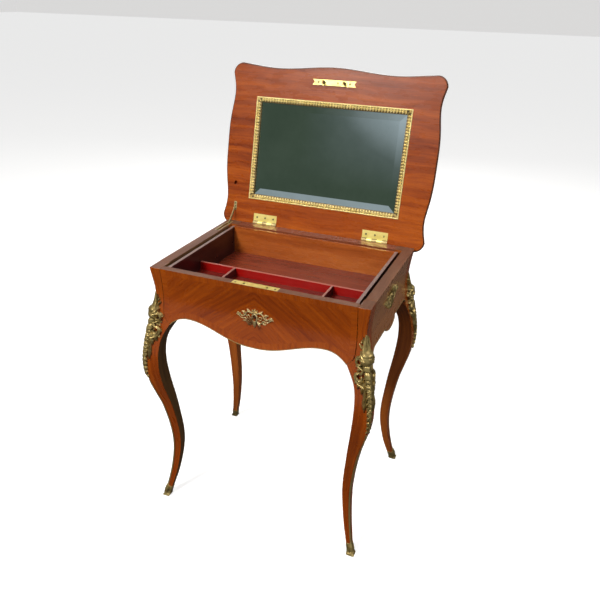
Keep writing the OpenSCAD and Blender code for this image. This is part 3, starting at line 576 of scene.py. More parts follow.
def panel(span, low, face, back, band, chevron, cols=120, rows=40, top=RIM):
    """span is the half width, low(u) the lower outline, face(z) the stand-out of the front surface,
    back the flat rear, band the width of the border, chevron the slope of the grain each side.
    The material indices are 0 field, 1 border and ends, 2 back and lower edge, 3 top edge."""
    us = sorted(set(round(u, 3) for u in steps(-span, span, cols) + [-span + band, span - band, 0.0]))
    grid = []
    for u in us:
        z0 = low(u)
        zs = [z0 + band * t for t in (0, 0.33, 0.67)]
        zs += steps(z0 + band, top - band, rows) + [top - band * 0.5, top]
        grid.append([(u, z) for z in zs])
    m = len(grid[0])
    verts, faces, uvs, index = [], [], [], []
    for column in grid:
        verts += [(u, face(z), z) for u, z in column]
    offset = len(verts)
    for column in grid:
        verts += [(u, back, z) for u, z in column]
    ca, sa = math.cos(chevron), math.sin(chevron)

    def uv(u, z, kind, left):
        if kind == "field":
            side = -1 if u < 0 or (u == 0 and left) else 1
            return (-side * u * ca + z * sa, side * u * sa + z * ca)
        if kind == "ends":
            return (u, z)
        return (z, u)

    for i in range(len(us) - 1):
        left = us[i + 1] <= 0
        for j in range(m - 1):
            a, b, c, d = i * m + j, (i + 1) * m + j, (i + 1) * m + j + 1, i * m + j + 1
            edge_u = us[i] < -span + band - 1e-6 or us[i + 1] > span - band + 1e-6
            edge_z = j < 3 or j >= m - 3
            kind = "ends" if edge_u else "rows" if edge_z else "field"
            faces.append((a, b, c, d))
            uvs.append([uv(*grid[p // m][p % m], kind, left) for p in (a, b, c, d)])
            index.append(0 if kind == "field" else 1)
            faces.append(tuple(offset + p for p in (d, c, b, a)))
            uvs.append([grid[p // m][p % m] for p in (d, c, b, a)])
            index.append(2)
    rim = [(i * m, (i + 1) * m, 2) for i in range(len(us) - 1)]
    rim += [((i + 1) * m + m - 1, i * m + m - 1, 3) for i in range(len(us) - 1)]
    rim += [(j + 1, j, 1) for j in range(m - 1)]
    rim += [((len(us) - 1) * m + j, (len(us) - 1) * m + j + 1, 1) for j in range(m - 1)]
    for a, b, mat in rim:
        faces.append((b, a, offset + a, offset + b))
        ua, ub = verts[a][0] + verts[a][2] * (mat == 1), verts[b][0] + verts[b][2] * (mat == 1)
        uvs.append([(ub, 0), (ua, 0), (ua, 20), (ub, 20)])
        index.append(mat)
    return verts, faces, uvs, index


def front_low(x):
    """Lower outline of the drawer front, the arch and then the seam beside the leg."""
    if abs(x) <= 238:
        return arch(x)
    for (z0, x0), (z1, x1) in zip(SEAM, SEAM[1:]):
        if abs(x) <= x1:
            return z0 + (z1 - z0) * (abs(x) - x0) / (x1 - x0)
    return SEAM[-1][0]


KEY_Z = 639.0
v, f, t, ix = panel(FRONT_W, front_low, lambda z: -outer_y(z), FRONT_Y, 15, math.radians(38))
piece = new_object("drawer_front_veneered", v, f, [front_wood, band_wood, box_wood, rim_wood], t, ix)
outward(piece)
keyhole = [[(x, y, KEY_Z + z) for x, z in circle(3)] for y in (-HALF_D - 20, FRONT_Y + 5)]
subtract(piece, [
    box_mesh("c1", (-60, -HALF_D + 1.5, RIM - 2.5), (60, FRONT_Y + 5, RIM + 5)),
    box_mesh("c2", (-44, FRONT_Y - 9, 626), (44, FRONT_Y + 5, RIM + 5)),
    box_mesh("c3", (-44, FRONT_Y - 14.5, 698), (44, FRONT_Y + 5, RIM + 5)),
    prism("c4", *keyhole),
])
finish_shading(piece, 35)
done(piece, "drawer", "veneer", "drawer_front")

for sx, x_name in ((-1, "left"), (1, "right")):
    v, f, t, ix = panel(SIDE_SPAN, side_arch, outer_x, HALF_W - SIDE_T, 12, 0.0, cols=96)
    v = [(sx * y, x, z) for x, y, z in v]
    piece = new_object(f"side_panel_{x_name}_veneered", v, f,
                       [side_wood, side_wood, plain["y"], rim_wood], t, ix)
    outward(piece)
    if sx < 0:
        subtract(piece, track_cutters(107, 112))
        finish_shading(piece, 35)
    done(piece, "carcass", "veneer", f"side_panel_{x_name}")

v, f, t, ix = panel(238, arch, outer_y, HALF_D - 18.5, 12, 0.0, top=RIM - 31)
piece = new_object("back_panel_board", v, f, [plain["x"]] * 4, t, ix)
outward(piece)
done(piece, "carcass", "plain_wood", "back_panel")


# Looks of the CAD nodes that keep their own shape

def dress(name, mat, width=0.0):
    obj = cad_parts[name]
    if obj.data.materials:
        for i in range(len(obj.data.materials)):
            obj.data.materials[i] = mat
    else:
        obj.data.materials.append(mat)
    if width:
        bevel(obj, width)


dress("hinge_rail", wood("rail_top", (0.09, 0.022, 0.010), (0.17, 0.045, 0.020), (0.26, 0.080, 0.036),
                         grain="x", seed=3.9), 0.6)
dress("front_rail", plain["x"], 0.8)
dress("runner_left", plain["y"], 0.5)
dress("runner_right", plain["y"], 0.5)
dress("mirror_backboard", plain["x"], 0.3)
dress("drawer_side_left", shade_wood, 0.8)
dress("drawer_side_right", shade_wood, 0.8)
dress("drawer_back", box_wood, 0.8)
dress("drawer_floor", dark_red)
dress("divider_long", red, 0.7)
dress("divider_left", cross_wood, 0.7)
dress("divider_right", cross_wood, 0.7)
dress("tray_floor_board", tray_wood)
for n in ("hinge_leaf_left", "hinge_leaf_right", "strike_plate", "lock_selvedge"):
    dress(n, brass, 0.25)
for n in ("stay_bracket", "stay_arm", "stay_track", "hinge_fixed_left", "hinge_fixed_right"):
    dress(n, dull_brass, 0.25)
for n in ("screws_case", "screws_lid", "screws_drawer"):
    dress(n, screw_brass)
for n in ("hinge_pins", "lock_case", "lock_bolt"):
    dress(n, steel, 0.25)
for n in ("strike_staples", "key"):
    dress(n, bronze, 0.25)
for n in ("leg_fillets", "side_edgings", "drawer_edging"):
    dress(n, line_brass)
dress("mirror_glass", mirror)


# Lid: a board with a moulded edge, hollowed for the mirror and the ironwork

def lid_outline():
    """The serpentine outline of the lid about its middle: X, and V from hinge side to front."""
    half_l, half_w, r, wave = 234.5, 311.0, 30.0, 5.5

    def side(v):
        return half_w - wave + wave * math.cos(math.pi * (abs(v / half_l) / 0.645) ** 1.8)

    def end(x):
        return half_l - wave + wave * math.cos(math.pi * abs(x / half_w) / 0.53)

    cx, cv = side(half_l - r) - r, end(half_w - r) - r
    quarter = [(x, end(x)) for x in steps(0, cx, 40)]
    quarter += [(cx + r * math.cos(math.radians(a)), cv + r * math.sin(math.radians(a)))
                for a in steps(86, 4, 18)]
    quarter += [(side(v), v) for v in steps(cv, 0, 34)]
    upper = quarter + [(x, -v) for x, v in quarter[-2::-1]]
    return upper + [(-x, v) for x, v in upper[-2:0:-1]]


def inset(points, d):
    """The closed outline moved inwards by d."""
    n = len(points)
    out = []
    for i in range(n):
        a, b = Vector(points[i - 1]), Vector(points[(i + 1) % n])
        t = (b - a).normalized()
        out.append((points[i][0] + t.y * d, points[i][1] - t.x * d))
    return out


# How far in from the outline, and out of the inner face, the moulded edge runs
LID_EDGE = [(3.4, 0), (2.2, -0.3), (1.6, -1.2), (1.5, -1.9), (0.5, -2.3), (0, -3.6), (0, -6.5),
            (0.5, -9), (1.6, -11.2), (3.0, -12.8), (3.2, -13.8), (4.6, -14.4), (5.6, -15.8),
            (6.4, -17.6), (8.4, -19)]
outline = lid_outline()
n = len(outline)
area2 = sum(outline[i - 1][0] * outline[i][1] - outline[i][0] * outline[i - 1][1] for i in range(n))
if area2 > 0:
    outline.reverse()
verts = [lid_point(x, v + LID_MID, t) for d, t in LID_EDGE for x, v in inset(outline, d)]
faces = bands(len(LID_EDGE), n)
index = [2] * len(faces) + [0, 1]
faces.append(tuple(range(n)))
faces.append(tuple((len(LID_EDGE) - 1) * n + j for j in range(n)))
lid = new_object("lid_board", verts, faces, [lid_wood, lid_top_wood, edge_wood], None, index)
outward(lid)


def lid_box(lo, hi):
    obj = box_mesh("cut", lo, hi)
    for v in obj.data.vertices:
        local = (v.co.x / MM, v.co.y / MM - MID_Y, v.co.z / MM)
        v.co = place(lid_point(*local))
    return obj


def lid_prism(outline, n0, n1):
    """A bar through the lid with this outline, from n0 to n1 out of its inner face."""
    return prism("cut", *[[lid_point(x, s, nn) for x, s in outline] for nn in (n0, n1)])


def lid_rod(r, x, s, n0, n1):
    return lid_prism([(x + a, s + b) for a, b in circle(r)], n0, n1)


def barrel_groove(x0, x1, r):
    return prism("cut", *[[(x, HINGE_Y + a, HINGE_Z + b) for a, b in circle(r, 32)] for x in (x0, x1)])


HINGE_X = 169
LEAF_HALF = 37
STRIKE_S = HINGE_Y + HALF_D - 11.5
cutters = [lid_box((-228, 68, -10), (228, 360, 5)), lid_box((-274.5, 28, -1.8), (-265.5, 54, 5)),
           lid_rod(5.5, -274, 109, -9, 5)]
for x in (-HINGE_X, HINGE_X):
    cutters.append(lid_box((x - LEAF_HALF, -2, -2.2), (x + LEAF_HALF, 27, 5)))
    cutters.append(barrel_groove(x - LEAF_HALF - 0.3, x + LEAF_HALF + 0.3, 5.7))
    cutters.append(lid_rod(2.5, math.copysign(30, x), STRIKE_S, -8, -1))
plate = [(-63, -8.5), (63, -8.5), (57, 0), (63, 8.5), (-63, 8.5), (-57, 0)]
cutters.append(lid_prism([(x, STRIKE_S + v) for x, v in plate], -2, 5))
subtract(lid, cutters)
ALONG_LID = Vector(place(lid_point(0, 1, 0)) - place(lid_point(0, 0, 0))).normalized()
planar_uv(lid, (1, 0, 0), ALONG_LID, place(lid_point(0, 0, 0)))
finish_shading(lid, 32)
for poly in lid.data.polygons:
    poly.use_smooth = poly.material_index == 2
done(lid, "lid", "veneer", "lid_panel")


# ---------------------------------------------------------------- cast ornament

class Cast:
    """Collects closed shapes drawn in (across, height, stand-out) and maps them onto a surface."""

    def __init__(self):
        self.verts = []
        self.faces = []

    def add(self, verts, faces):
        base = len(self.verts)
        self.verts += verts
        self.faces += [tuple(base + i for i in f) for f in faces]

    def tube(self, points, radii, sides=9, samples=6, flat=1.0):
        """A rounded band through points, with a radius at each."""
        pts, rad = smooth_path(points, radii, samples)
        rings = []
        for i, (p, r) in enumerate(zip(pts, rad)):
            a, b = pts[max(i - 1, 0)], pts[min(i + 1, len(pts) - 1)]
            t = (b - a).normalized()
            nrm = Vector((-t[1], t[0], 0))
            if nrm.length < 1e-6:
                nrm = Vector((1, 0, 0))
            nrm.normalize()
            up_h = t.cross(nrm).normalized() * flat
            if up_h.z < 0:
                up_h = -up_h
            rings.append([p + nrm * (r * math.cos(2 * math.pi * j / sides))
                          + up_h * (r * math.sin(2 * math.pi * j / sides)) for j in range(sides)])
        verts = [v for ring in rings for v in ring]
        faces = bands(len(rings), sides)
        faces.append(tuple(range(sides)))
        faces.append(tuple((len(rings) - 1) * sides + j for j in range(sides)))
        self.add(verts, faces)

    def scroll(self, cx, cz, r, start, turns, tube_r, h, sides=8):
        """A flat spiral that narrows and rises a little towards its eye."""
        n = max(10, int(abs(turns) * 22))
        pts = []
        for i in range(n + 1):
            t = i / n
            a = start + turns * 2 * math.pi * t
            rr = r * (1 - 0.5 * t)
            pts.append(Vector((cx + rr * math.cos(a), cz + rr * math.sin(a), h + 1.2 * t)))
        self.tube(pts, [tube_r * (1 - 0.35 * i / n) for i in range(n + 1)], sides, 1)

    def leaf(self, w0, z0, w1, z1, width, h0=1.5, h1=1.0, rise=3.5, lobes=3.5, bend=0.0, rib=1.3,
             nt=18, ns=6):
        """A lobed leaf with a raised rib, bedded in the surface."""
        a, b = Vector((w0, z0)), Vector((w1, z1))
        axis = b - a
        side = Vector((-axis.y, axis.x)).normalized()
        top, bottom = [], []
        for i in range(nt + 1):
            t = i / nt
            body = math.sin(math.pi * min(1, 0.12 + 0.88 * t)) ** 0.75 if t < 1 else 0.0
            notch = 1 - 0.34 * abs(math.sin(math.pi * lobes * t)) ** 3 * (t < 0.93)
            hw = max(width / 2 * body * notch, 0.15)
            c = a + axis * t + side * (bend * math.sin(math.pi * t))
            for j in range(ns + 1):
                u = -1 + 2 * j / ns
                p = c + side * (hw * u) + axis.normalized() * (-0.16 * width * abs(u) * (1 - t))
                h = h0 + (h1 - h0) * t + rise * math.sin(math.pi * min(1, 0.1 + 0.8 * t))
                h = (h * (1 - 0.55 * abs(u) ** 1.6) + rib * (1 - abs(u)) ** 3
                     + 0.35 * math.cos(3 * math.pi * u))
                top.append(Vector((p.x, p.y, max(h, 0.4))))
                bottom.append(Vector((p.x, p.y, -0.8)))
        m = ns + 1
        faces = []
        off = len(top)
        for i in range(nt):
            for j in range(ns):
                q = (i * m + j, i * m + j + 1, (i + 1) * m + j + 1, (i + 1) * m + j)
                faces.append(q)
                faces.append(tuple(off + v for v in reversed(q)))
        loop = [i * m for i in range(nt + 1)] + [nt * m + j for j in range(1, m)]
        loop += [i * m + ns for i in range(nt - 1, -1, -1)] + [j for j in range(ns - 1, 0, -1)]
        for x, y in zip(loop, loop[1:] + loop[:1]):
            faces.append((y, x, off + x, off + y))
        self.add(top + bottom, faces)

    def dome(self, w, z, rw, rz, h, flutes=0, tilt=0.0, nr=6, na=20):
        """A boss, with radial flutes if asked, bedded in the surface."""
        verts = [Vector((w, z, h))]
        ct, st = math.cos(tilt), math.sin(tilt)
        for i in range(1, nr + 2):
            t = min(i / nr, 1)
            for j in range(na):
                a = 2 * math.pi * j / na
                wave = 1 + (0.10 * math.cos(flutes * a) * t if flutes else 0)
                x, y = rw * t * wave * math.cos(a), rz * t * wave * math.sin(a)
                lift = 1 + (0.14 * math.cos(flutes * a) * t if flutes else 0)
                hh = h * math.sqrt(max(0, 1 - t * t)) * lift
                if i > nr:
                    hh = -0.8
                verts.append(Vector((w + x * ct - y * st, z + x * st + y * ct, hh)))
        faces = [(0, 1 + j, 1 + (j + 1) % na) for j in range(na)]
        for i in range(nr):
            b0, b1 = 1 + i * na, 1 + (i + 1) * na
            for j in range(na):
                nxt = (j + 1) % na
                faces.append((b0 + j, b1 + j, b1 + nxt, b0 + nxt))
        faces.append(tuple(1 + nr * na + j for j in reversed(range(na))))
        self.add(verts, faces)

    def add_both(self, half):
        """Adds another cast and its mirror image about the middle."""
        self.add(half.verts, half.faces)
        self.add([Vector((-v[0], v[1], v[2])) for v in half.verts],
                 [tuple(reversed(f)) for f in half.faces])

    def build(self, name, mapping, mat):
        obj = new_object(name, [mapping(*v) for v in self.verts], self.faces, [mat], smooth=50)
        outward(obj)
        finish_shading(obj, 50)
        return obj


def smooth_path(points, radii, samples):
    pts = [Vector(p) for p in points]
    if samples <= 1:
        return pts, list(radii)
    out, rad = [], []
    for i in range(len(pts) - 1):
        p0, p1, p2 = pts[max(i - 1, 0)], pts[i], pts[i + 1]
        p3 = pts[min(i + 2, len(pts) - 1)]
        for j in range(samples):
            t = j / samples
            out.append(0.5 * ((2 * p1) + (p2 - p0) * t + (2 * p0 - 5 * p1 + 4 * p2 - p3) * t * t
                              + (3 * p1 - p0 - 3 * p2 + p3) * t ** 3))
            rad.append(radii[i] * (1 - t) + radii[i + 1] * t)
    out.append(pts[-1])
    rad.append(radii[-1])
    return out, rad


def corner_map(sx, sy, r=5.0):
    """Across 0 is the leg's outer edge; above 0 is its front or back face, below 0 its side."""
    def mapping(w, z, h):
        h *= 1.25 if h > 0 else 1
        ox, oy = outer_x(z), outer_y(z)
        quarter = r * math.pi / 4
        if abs(w) <= quarter:
            a = math.pi / 4 + w / r
            x, y = ox - r + (r + h) * math.cos(a), oy - r + (r + h) * math.sin(a)
        elif w > 0:
            x, y = ox - r - (w - quarter), oy + h
        else:
            x, y = ox + h, oy - r + (w + quarter)
        return (sx * x, sy * y, z)
    return mapping


def half_corner():
    c = Cast()
    # the stem with its bud and leaf tips at the top
    c.tube([(0.5, 656, 1.0), (1.5, 648, 2.5), (2, 640, 3.5), (3, 630, 5.5), (4, 622, 7)],
           [0.8, 1.6, 2.2, 3.0, 3.6])
    c.leaf(3, 632, 6, 652, 6, 2.0, 1.0, 2.0, 2.5)
    c.dome(9, 641, 3.0, 3.2, 5.0)
    c.leaf(5, 628, 15, 637, 7, 2.0, 1.0, 2.5, 2.5)
    # the eye scroll below the shell
    c.scroll(14, 601, 9, math.radians(100), -0.95, 3.0, 5.0)
    c.tube([(7, 617, 6), (13, 613.5, 6), (20.5, 608, 5), (22.5, 599, 4.5), (19, 590, 4.5), (12, 585, 5.5),
            (6, 580, 6.5)], [2.6, 2.8, 2.6, 2.4, 2.4, 2.8, 3.0])
    c.leaf(16, 612, 27, 603, 7, 1.5, 1.0, 2.5, 2.5)
    # spikes between the two scrolls
    c.leaf(8, 586, 26, 585, 8, 2.0, 1.2, 3.5, 2.5, 1.5)
    c.leaf(8, 580, 25, 574, 8, 2.0, 1.2, 3.5, 2.5, 1.5)
    # the large C-scroll and the band that sweeps round it
    c.scroll(17, 560, 10.5, math.radians(120), -0.95, 3.3, 5.5)
    c.tube([(5, 583, 7), (9, 575, 7), (12, 571.5, 7), (20, 571, 5.5), (27, 564, 4.5), (28.5, 554, 4.5),
            (24, 545, 4.5), (16, 540.5, 5.5), (8, 538, 7)], [2.6, 3.0, 3.0, 2.8, 2.8, 2.8, 2.8, 3.2, 3.4])
    c.leaf(24, 566, 33, 556, 6, 1.5, 1.0, 2.0, 2.5)
    c.leaf(20, 546, 33, 541, 8, 1.5, 1.0, 2.5, 2.5, 1.0)
    # leaves that fall from the scroll
    c.leaf(7, 556, 27, 527, 13, 3.0, 1.2, 5.0, 4.5, 3.0)
    c.leaf(4, 548, 18, 514, 12, 3.0, 1.2, 5.0, 4.5, 2.0)
    c.leaf(3, 540, 11, 503, 9, 3.0, 1.2, 4.5, 4.5, 1.0)
    c.leaf(8, 524, 13, 466, 12, 2.0, 1.2, 5.0, 1.5, 1.0)
    # husks beside the edge, narrowing downwards
    for i in range(8):
        z = 512 - 14 * i
        size = 1 - 0.075 * i
        c.leaf(1.2, z, 6.5 * size, z - 19 * size, 7.5 * size, 2.0, 0.8, 3.4 * size, 2.5, 0.8)
    return c


def settle(z):
    """Lets the shell and scrolls sit a little lower than drawn, the leaf tips less."""
    marks = [(0, 0), (470, 0), (520, 5), (540, 8), (560, 9), (585, 12), (600, 16), (620, 15),
             (640, 9), (660, 3)]
    for (a, da), (b, db) in zip(marks, marks[1:]):
        if a <= z <= b:
            return z - (da + (db - da) * (z - a) / (b - a))
    return z - marks[-1][1]


def whole_corner():
    c = Cast()
    c.add_both(half_corner())
    # the shell over the edge, and the string of beads and husks down it
    c.dome(0, 611, 15, 20, 15, 9)
    c.dome(0, 620, 8, 9, 15.5, 0)
    c.leaf(0, 600, 0, 566, 15, 6.0, 3.0, 6.0, 3.5)
    c.leaf(0, 580, 0, 545, 13, 6.0, 3.0, 6.0, 3.5)
    c.tube([(0, 572, 2), (0, 550, 2.5), (0, 520, 2.5), (0, 480, 2), (0, 440, 1), (0, 404, 0.6)],
           [3.0, 3.6, 3.4, 2.8, 1.8, 0.6])
    for i in range(12):
        z = 566 - 13 * i
        size = 1 - 0.055 * i
        c.leaf(0, z + 6, 0, z - 14, 12 * size, 7.0 * size, 0.6, 4.6 * size, 2.5, 0, 2.2)
        c.dome(0, z + 3, 2.6 * size, 3.2 * size, 11.5 * size, 0, 0, 4, 10)
    c.verts = [Vector((v[0], settle(v[1]), v[2])) for v in c.verts]
    return c


corner = whole_corner()
for sx, x_name in ((-1, "left"), (1, "right")):
    for sy, y_name in ((-1, "front"), (1, "back")):
        obj = corner.build(f"chute_{y_name}_{x_name}", corner_map(sx, sy), gilt)
        done(obj, "carcass", "gilt", f"corner_mount_{y_name}_{x_name}")


# Shoes of the feet: a moulded cup with a leaf up its corner and a small toe

def shoe(name, sx, sy):
    grow = [(0, 1.4), (0.8, 2.2), (3, 2.5), (6, 1.9), (9, 1.4), (14, 1.1), (20, 1.0), (25, 1.1), (28, 0.9),
            (29.5, 0.5), (30, 0.2)]
    rings = []
    for z, g in grow:
        toe = 4.2 * max(0, 1 - z / 12) ** 1.3
        x0, x1 = inner_x(z) - g, outer_x(z) + g + toe
        y0, y1 = inner_y(z) - g, outer_y(z) + g + toe
        cut = 1.4
        rings.append([(sx * x, sy * y, z) for x, y in (
            (x0 + cut, y0), (x1 - cut, y0), (x1, y0 + cut), (x1, y1 - cut), (x1 - cut, y1), (x0 + cut, y1),
            (x0, y1 - cut), (x0, y0 + cut))])
    n = 8
    verts = [p for ring in rings for p in ring]
    faces = [tuple(range(n)), tuple((len(rings) - 1) * n + j for j in range(n))]
    faces += bands(len(rings), n)
    obj = new_object(name, verts, faces, [gilt], smooth=40)
    outward(obj)
    finish_shading(obj, 40)
    return bevel(obj, 0.5)


sprig = Cast()
sprig.leaf(0, 8, 0, 36, 13, 2.6, 1.0, 2.2, 3.5)
sprig.leaf(4, 8, 7, 29, 7, 2.0, 0.8, 1.8, 2.5)
sprig.leaf(-4, 8, -7, 29, 7, 2.0, 0.8, 1.8, 2.5)
sprig.dome(0, 8, 5, 4, 4.6, 6)
for sx, x_name in ((-1, "left"), (1, "right")):
    for sy, y_name in ((-1, "front"), (1, "back")):
        obj = shoe(f"shoe_{y_name}_{x_name}", sx, sy)
        done(obj, "carcass", "gilt", f"sabot_{y_name}_{x_name}")
        obj = sprig.build(f"shoe_leaf_{y_name}_{x_name}", corner_map(sx, sy, 3.0), gilt)
        done(obj, "carcass", "gilt")


# Scroll mounts: round the keyhole, and in the middle of each side

def half_scroll():
    c = Cast()
    c.tube([(6, 12, 3), (11, 15, 3.5), (17, 15, 3), (22, 10, 2.5), (25, 4, 2.5), (31, 1, 2.5), (38, 4, 2.5),
            (43, 8, 2)], [1.6, 1.9, 1.9, 1.6, 1.7, 1.7, 1.5, 1.2])
    c.scroll(42, 4.5, 4.6, math.radians(80), -1.1, 1.2, 2.5)
    c.tube([(7, -8, 3), (13, -11, 3.2), (19, -9, 3), (24, -3, 3), (30, -5, 2.5), (36, -4, 2.2), (41, 0, 2)],
           [1.8, 1.9, 1.7, 1.5, 1.5, 1.3, 1.1])
    c.scroll(15, 2, 5.5, math.radians(200), 1.1, 1.3, 2.5)
    c.leaf(12, 12, 21, 21, 7, 1.5, 0.8, 2.4, 2.5)
    c.leaf(24, 9, 36, 12, 6.5, 1.5, 0.8, 2.2, 2.5, 1.0)
    c.leaf(38, 5, 50, 1, 6, 1.5, 0.8, 2.0, 2.5, 1.0)
    c.leaf(20, -8, 31, -12, 6, 1.5, 0.8, 2.2, 2.5, -1.0)
    c.leaf(8, -8, 15, -21, 7.5, 1.8, 0.8, 2.4, 3.5, 1.0)
    c.leaf(3, 11, 7, 22, 6, 1.8, 0.8, 2.4, 2.5)
    c.dome(29, 6, 1.9, 1.9, 3.4)
    c.dome(33, -1, 1.6, 1.6, 3.0)
    c.dome(22, 3, 1.6, 1.6, 3.0)
    return c


def scroll_mount(keyhole):
    c = Cast()
    c.add_both(half_scroll())
    ring = [(6.6 * math.cos(a), 10.5 * math.sin(a), 2.6) for a in steps(0, 2 * math.pi, 28)]
    c.tube(ring, [1.8] * len(ring), 8, 1)
    c.leaf(0, 9, 0, 25, 8, 2.0, 0.8, 3.0, 3.5)
    c.leaf(0, -9, 0, -25, 9, 2.0, 0.8, 3.0, 3.5)
    if not keyhole:
        c.dome(0, 0, 5.6, 9, 5.5, 8)
    return c


KEY_MOUNT_Z = KEY_Z - 3
SIDE_MOUNT_SIZE = 1.2
SIDE_MOUNT_Z = 662


def on_front(w, z, h):
    return (w, -outer_y(z + KEY_MOUNT_Z) - h, z + KEY_MOUNT_Z)


obj = scroll_mount(True).build("keyhole_mount", on_front, mount_gilt)
done(obj, "drawer", "gilt", "escutcheon")
plate = scroll_mount(False)
for sx, x_name in ((-1, "left"), (1, "right")):
    def on_side(w, z, h, sx=sx):
        height = z * SIDE_MOUNT_SIZE + SIDE_MOUNT_Z
        return (sx * (outer_x(height) + h * SIDE_MOUNT_SIZE), w * SIDE_MOUNT_SIZE, height)

    done(plate.build(f"side_scroll_{x_name}", on_side, gilt), "carcass", "gilt", f"side_mount_{x_name}")


# Moulding round the mirror: a ribbed outer bead, and a run of small leaves with small beads between them

MIRROR_S = 214


def frame_length(name, turn, length, reach, node):
    ca, sa = math.cos(turn), math.sin(turn)
    c = Cast()
    half = length / 2
    profile = [(0, -7.9), (0, 1.0), (0.6, 2.0), (1.8, 2.5), (3.0, 2.1), (3.8, 0.8), (4.2, -1.2),
               (14.0, -2.0), (14.8, -2.4), (14.8, -3.9), (8.6, -3.9), (8.6, -7.9)]
    m = len(profile)
    verts = []
    for sgn in (-1, 1):
        verts += [Vector((sgn * (half - d), d, h)) for d, h in profile]
    faces = [tuple(range(m)), tuple(range(2 * m - 1, m - 1, -1))]
    faces += [(j, (j + 1) % m, m + (j + 1) % m, m + j) for j in range(m)]
    c.add(verts, faces)
    ground = range(len(c.faces) - m + 6, len(c.faces))
    pitch = 8.2
    count = int((length - 24) // pitch)
    for i in range(count):
        w = (i - (count - 1) / 2) * pitch
        c.leaf(w, 3.6, w + 0.8, 14.2, 6.6, 1.6, 0.2, 0.8, 1.5, 0.0, 0.7, 7, 4)
        if i:
            c.dome(w - pitch / 2, 7.0, 1.2, 2.2, 1.7, 0, 0, 3, 8)
    rope_pitch = 5.0
    ropes = int((length - 6) // rope_pitch)
    for i in range(ropes):
        w = (i - (ropes - 1) / 2) * rope_pitch
        c.dome(w, 1.8, 2.8, 1.4, 2.8, 0, 0.6, 3, 8)
    for sgn in (-1, 1):
        c.leaf(sgn * (half - 2.5), 2.5, sgn * (half - 14), 14, 8, 1.4, 0.2, 1.0, 2.5, 0, 0.7, 8, 4)

    def mapping(w, d, h):
        x, y = w, d - reach
        return lid_point(x * ca - y * sa, MIRROR_S + x * sa + y * ca, h)

    obj = c.build(name, mapping, frame_gilt)
    # The sunk ground faces take the painted-shade material.
    obj.data.materials.append(frame_ground_painted_shade)
    for poly in obj.data.polygons:
        if poly.index in ground:
            poly.material_index = 1
    done(obj, "lid", "gilt", node)


frame_length("moulding_top", math.pi, 456, 146, "mirror_frame_top")
frame_length("moulding_bottom", 0, 456, 146, "mirror_frame_bottom")
frame_length("moulding_left", -math.pi / 2, 292, 228, "mirror_frame_left")
frame_length("moulding_right", math.pi / 2, 292, 228, "mirror_frame_right")


# ---------------------------------------------------------------- stage, camera and light

bpy.context.scene.view_settings.view_transform = "Standard"


def sheet_object(name, corners, mat):
    mesh = bpy.data.meshes.new(name)
    mesh.from_pydata(corners, [], [(0, 1, 2, 3)])
    mesh.materials.append(mat)
    obj = bpy.data.objects.new(name, mesh)
    bpy.context.scene.collection.objects.link(obj)
    return obj


k = Nodes("floor")
k.set(Base_Color=(0.62, 0.615, 0.61, 1), Roughness=0.9,
      Emission_Color=(1.0, 0.99, 0.98, 1), Emission_Strength=0.56)
FAR = 30
floor = sheet_object("floor", [(-FAR, -FAR, 0), (FAR, -FAR, 0), (FAR, FAR, 0), (-FAR, FAR, 0)], k.mat)
floor.visible_glossy = False
floor.visible_diffuse = False
ends = [(-FAR, FAR), (FAR, FAR), (FAR, -FAR), (-FAR, -FAR)]
for i, ((xa, ya), (xb, yb)) in enumerate(zip(ends, ends[1:] + ends[:1])):
    wall = sheet_object(f"wall_{i}", [(xa, ya, 0), (xb, yb, 0), (xb, yb, FAR), (xa, ya, FAR)], k.mat)
    wall.visible_glossy = False
    wall.visible_diffuse = False
    wall.visible_shadow = False

# A soft dim card behind the camera, seen only in reflections
k = Nodes("card")
k.tree.nodes.remove(k.bsdf)
coords = k.node("ShaderNodeTexCoord")
ramp = k.node("ShaderNodeSeparateXYZ")
k.link(coords.outputs["Generated"], ramp.inputs[0])
cloud = k.noise(coords.outputs["Generated"], (9, 9, 9), 3.0)
east = k.math("ADD", ramp.outputs["X"], k.math("MULTIPLY", cloud, 0.05))
east = k.ramp(east, [(0.43, (0, 0, 0)), (0.55, (1, 1, 1))])
high = k.ramp(ramp.outputs["Z"], [(0.33, (0, 0, 0)), (0.44, (1, 1, 1))])
low = k.ramp(ramp.outputs["Z"], [(0.24, (0.8, 0.8, 0.8)), (0.28, (0, 0, 0))])
value = k.math("ADD", k.math("MULTIPLY", east, high), low)
tint = k.ramp(value, [(0.0, (0.066, 0.092, 0.066)), (0.35, (0.12, 0.15, 0.14)),
                      (1.0, (0.48, 0.55, 0.60))])
glow = k.node("ShaderNodeEmission")
k.link(tint, glow.inputs["Color"])
k.link(glow.outputs[0], k.tree.nodes["Material Output"].inputs[0])
card = sheet_object("card", [(-4, -2.5, -0.3), (3, -2.5, -0.3), (3, -2.5, 4.5), (-4, -2.5, 4.5)], k.mat)
card.visible_camera = False
card.visible_diffuse = False
card.visible_shadow = False

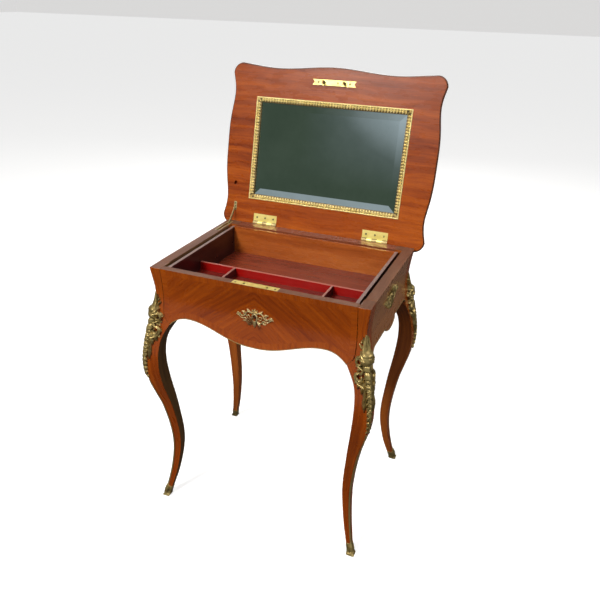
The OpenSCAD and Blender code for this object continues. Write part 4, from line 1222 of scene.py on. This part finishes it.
YAW, PITCH, ROLL = -0.374, 0.447, 0.026
CAMERA_AT = (604.476, -1429.978, 1339.843)
SENSOR = 36
FOCAL_RATIO = 640.178 / 600
fwd = Vector((math.sin(YAW) * math.cos(PITCH), math.cos(YAW) * math.cos(PITCH), -math.sin(PITCH)))
right = Vector((math.cos(YAW), -math.sin(YAW), 0))
up = right.cross(fwd)
axis_x = right * math.cos(ROLL) + up * math.sin(ROLL)
axis_y = up * math.cos(ROLL) - right * math.sin(ROLL)
data = bpy.data.cameras.new("camera")
data.sensor_width = SENSOR
data.lens = SENSOR * FOCAL_RATIO
data.shift_x = -0.00429
data.shift_y = 0.00104
data.clip_start = 0.05
camera = bpy.data.objects.new("camera", data)
bpy.context.scene.collection.objects.link(camera)
m = Matrix((axis_x, axis_y, -fwd)).transposed().to_4x4()
m.translation = place(CAMERA_AT)
camera.matrix_world = m
bpy.context.scene.camera = camera

world = bpy.data.worlds.new("world")
bpy.context.scene.world = world
world.use_nodes = True
tree = world.node_tree
heading = tree.nodes.new("ShaderNodeTexCoord")
split = tree.nodes.new("ShaderNodeSeparateXYZ")
tree.links.new(heading.outputs["Generated"], split.inputs[0])
sky = tree.nodes.new("ShaderNodeValToRGB")
sky.color_ramp.elements[0].position = 0.0
sky.color_ramp.elements[0].color = (0.16, 0.15, 0.14, 1)
sky.color_ramp.elements[1].position = 0.2
sky.color_ramp.elements[1].color = (0.95, 0.98, 1.0, 1)
tree.links.new(split.outputs["Z"], sky.inputs[0])
tree.links.new(sky.outputs[0], tree.nodes["Background"].inputs[0])
tree.nodes["Background"].inputs[1].default_value = 0.42


def area(name, loc, target, size, power, colour):
    data = bpy.data.lights.new(name, "AREA")
    data.shape = "RECTANGLE"
    data.size, data.size_y = size
    data.energy = power
    data.color = colour
    obj = bpy.data.objects.new(name, data)
    obj.location = loc
    obj.rotation_euler = (Vector(target) - Vector(loc)).to_track_quat("-Z", "Y").to_euler()
    bpy.context.scene.collection.objects.link(obj)


area("key", (-1.1, -3.0, 3.1), (0, 0, 0.6), (0.9, 0.9), 165, (1.0, 0.97, 0.92))
area("fill", (2.8, -0.6, 2.2), (0, 0, 0.6), (1.8, 1.6), 34, (1.0, 0.97, 0.94))
area("top", (0.4, 0.9, 4.0), (0, 0, 0.6), (2.6, 2.6), 22, (1, 1, 1))
area("back", (-0.8, 3.2, 2.4), (0, 0, 0.6), (1.6, 1.6), 45, (1.0, 0.98, 0.96))
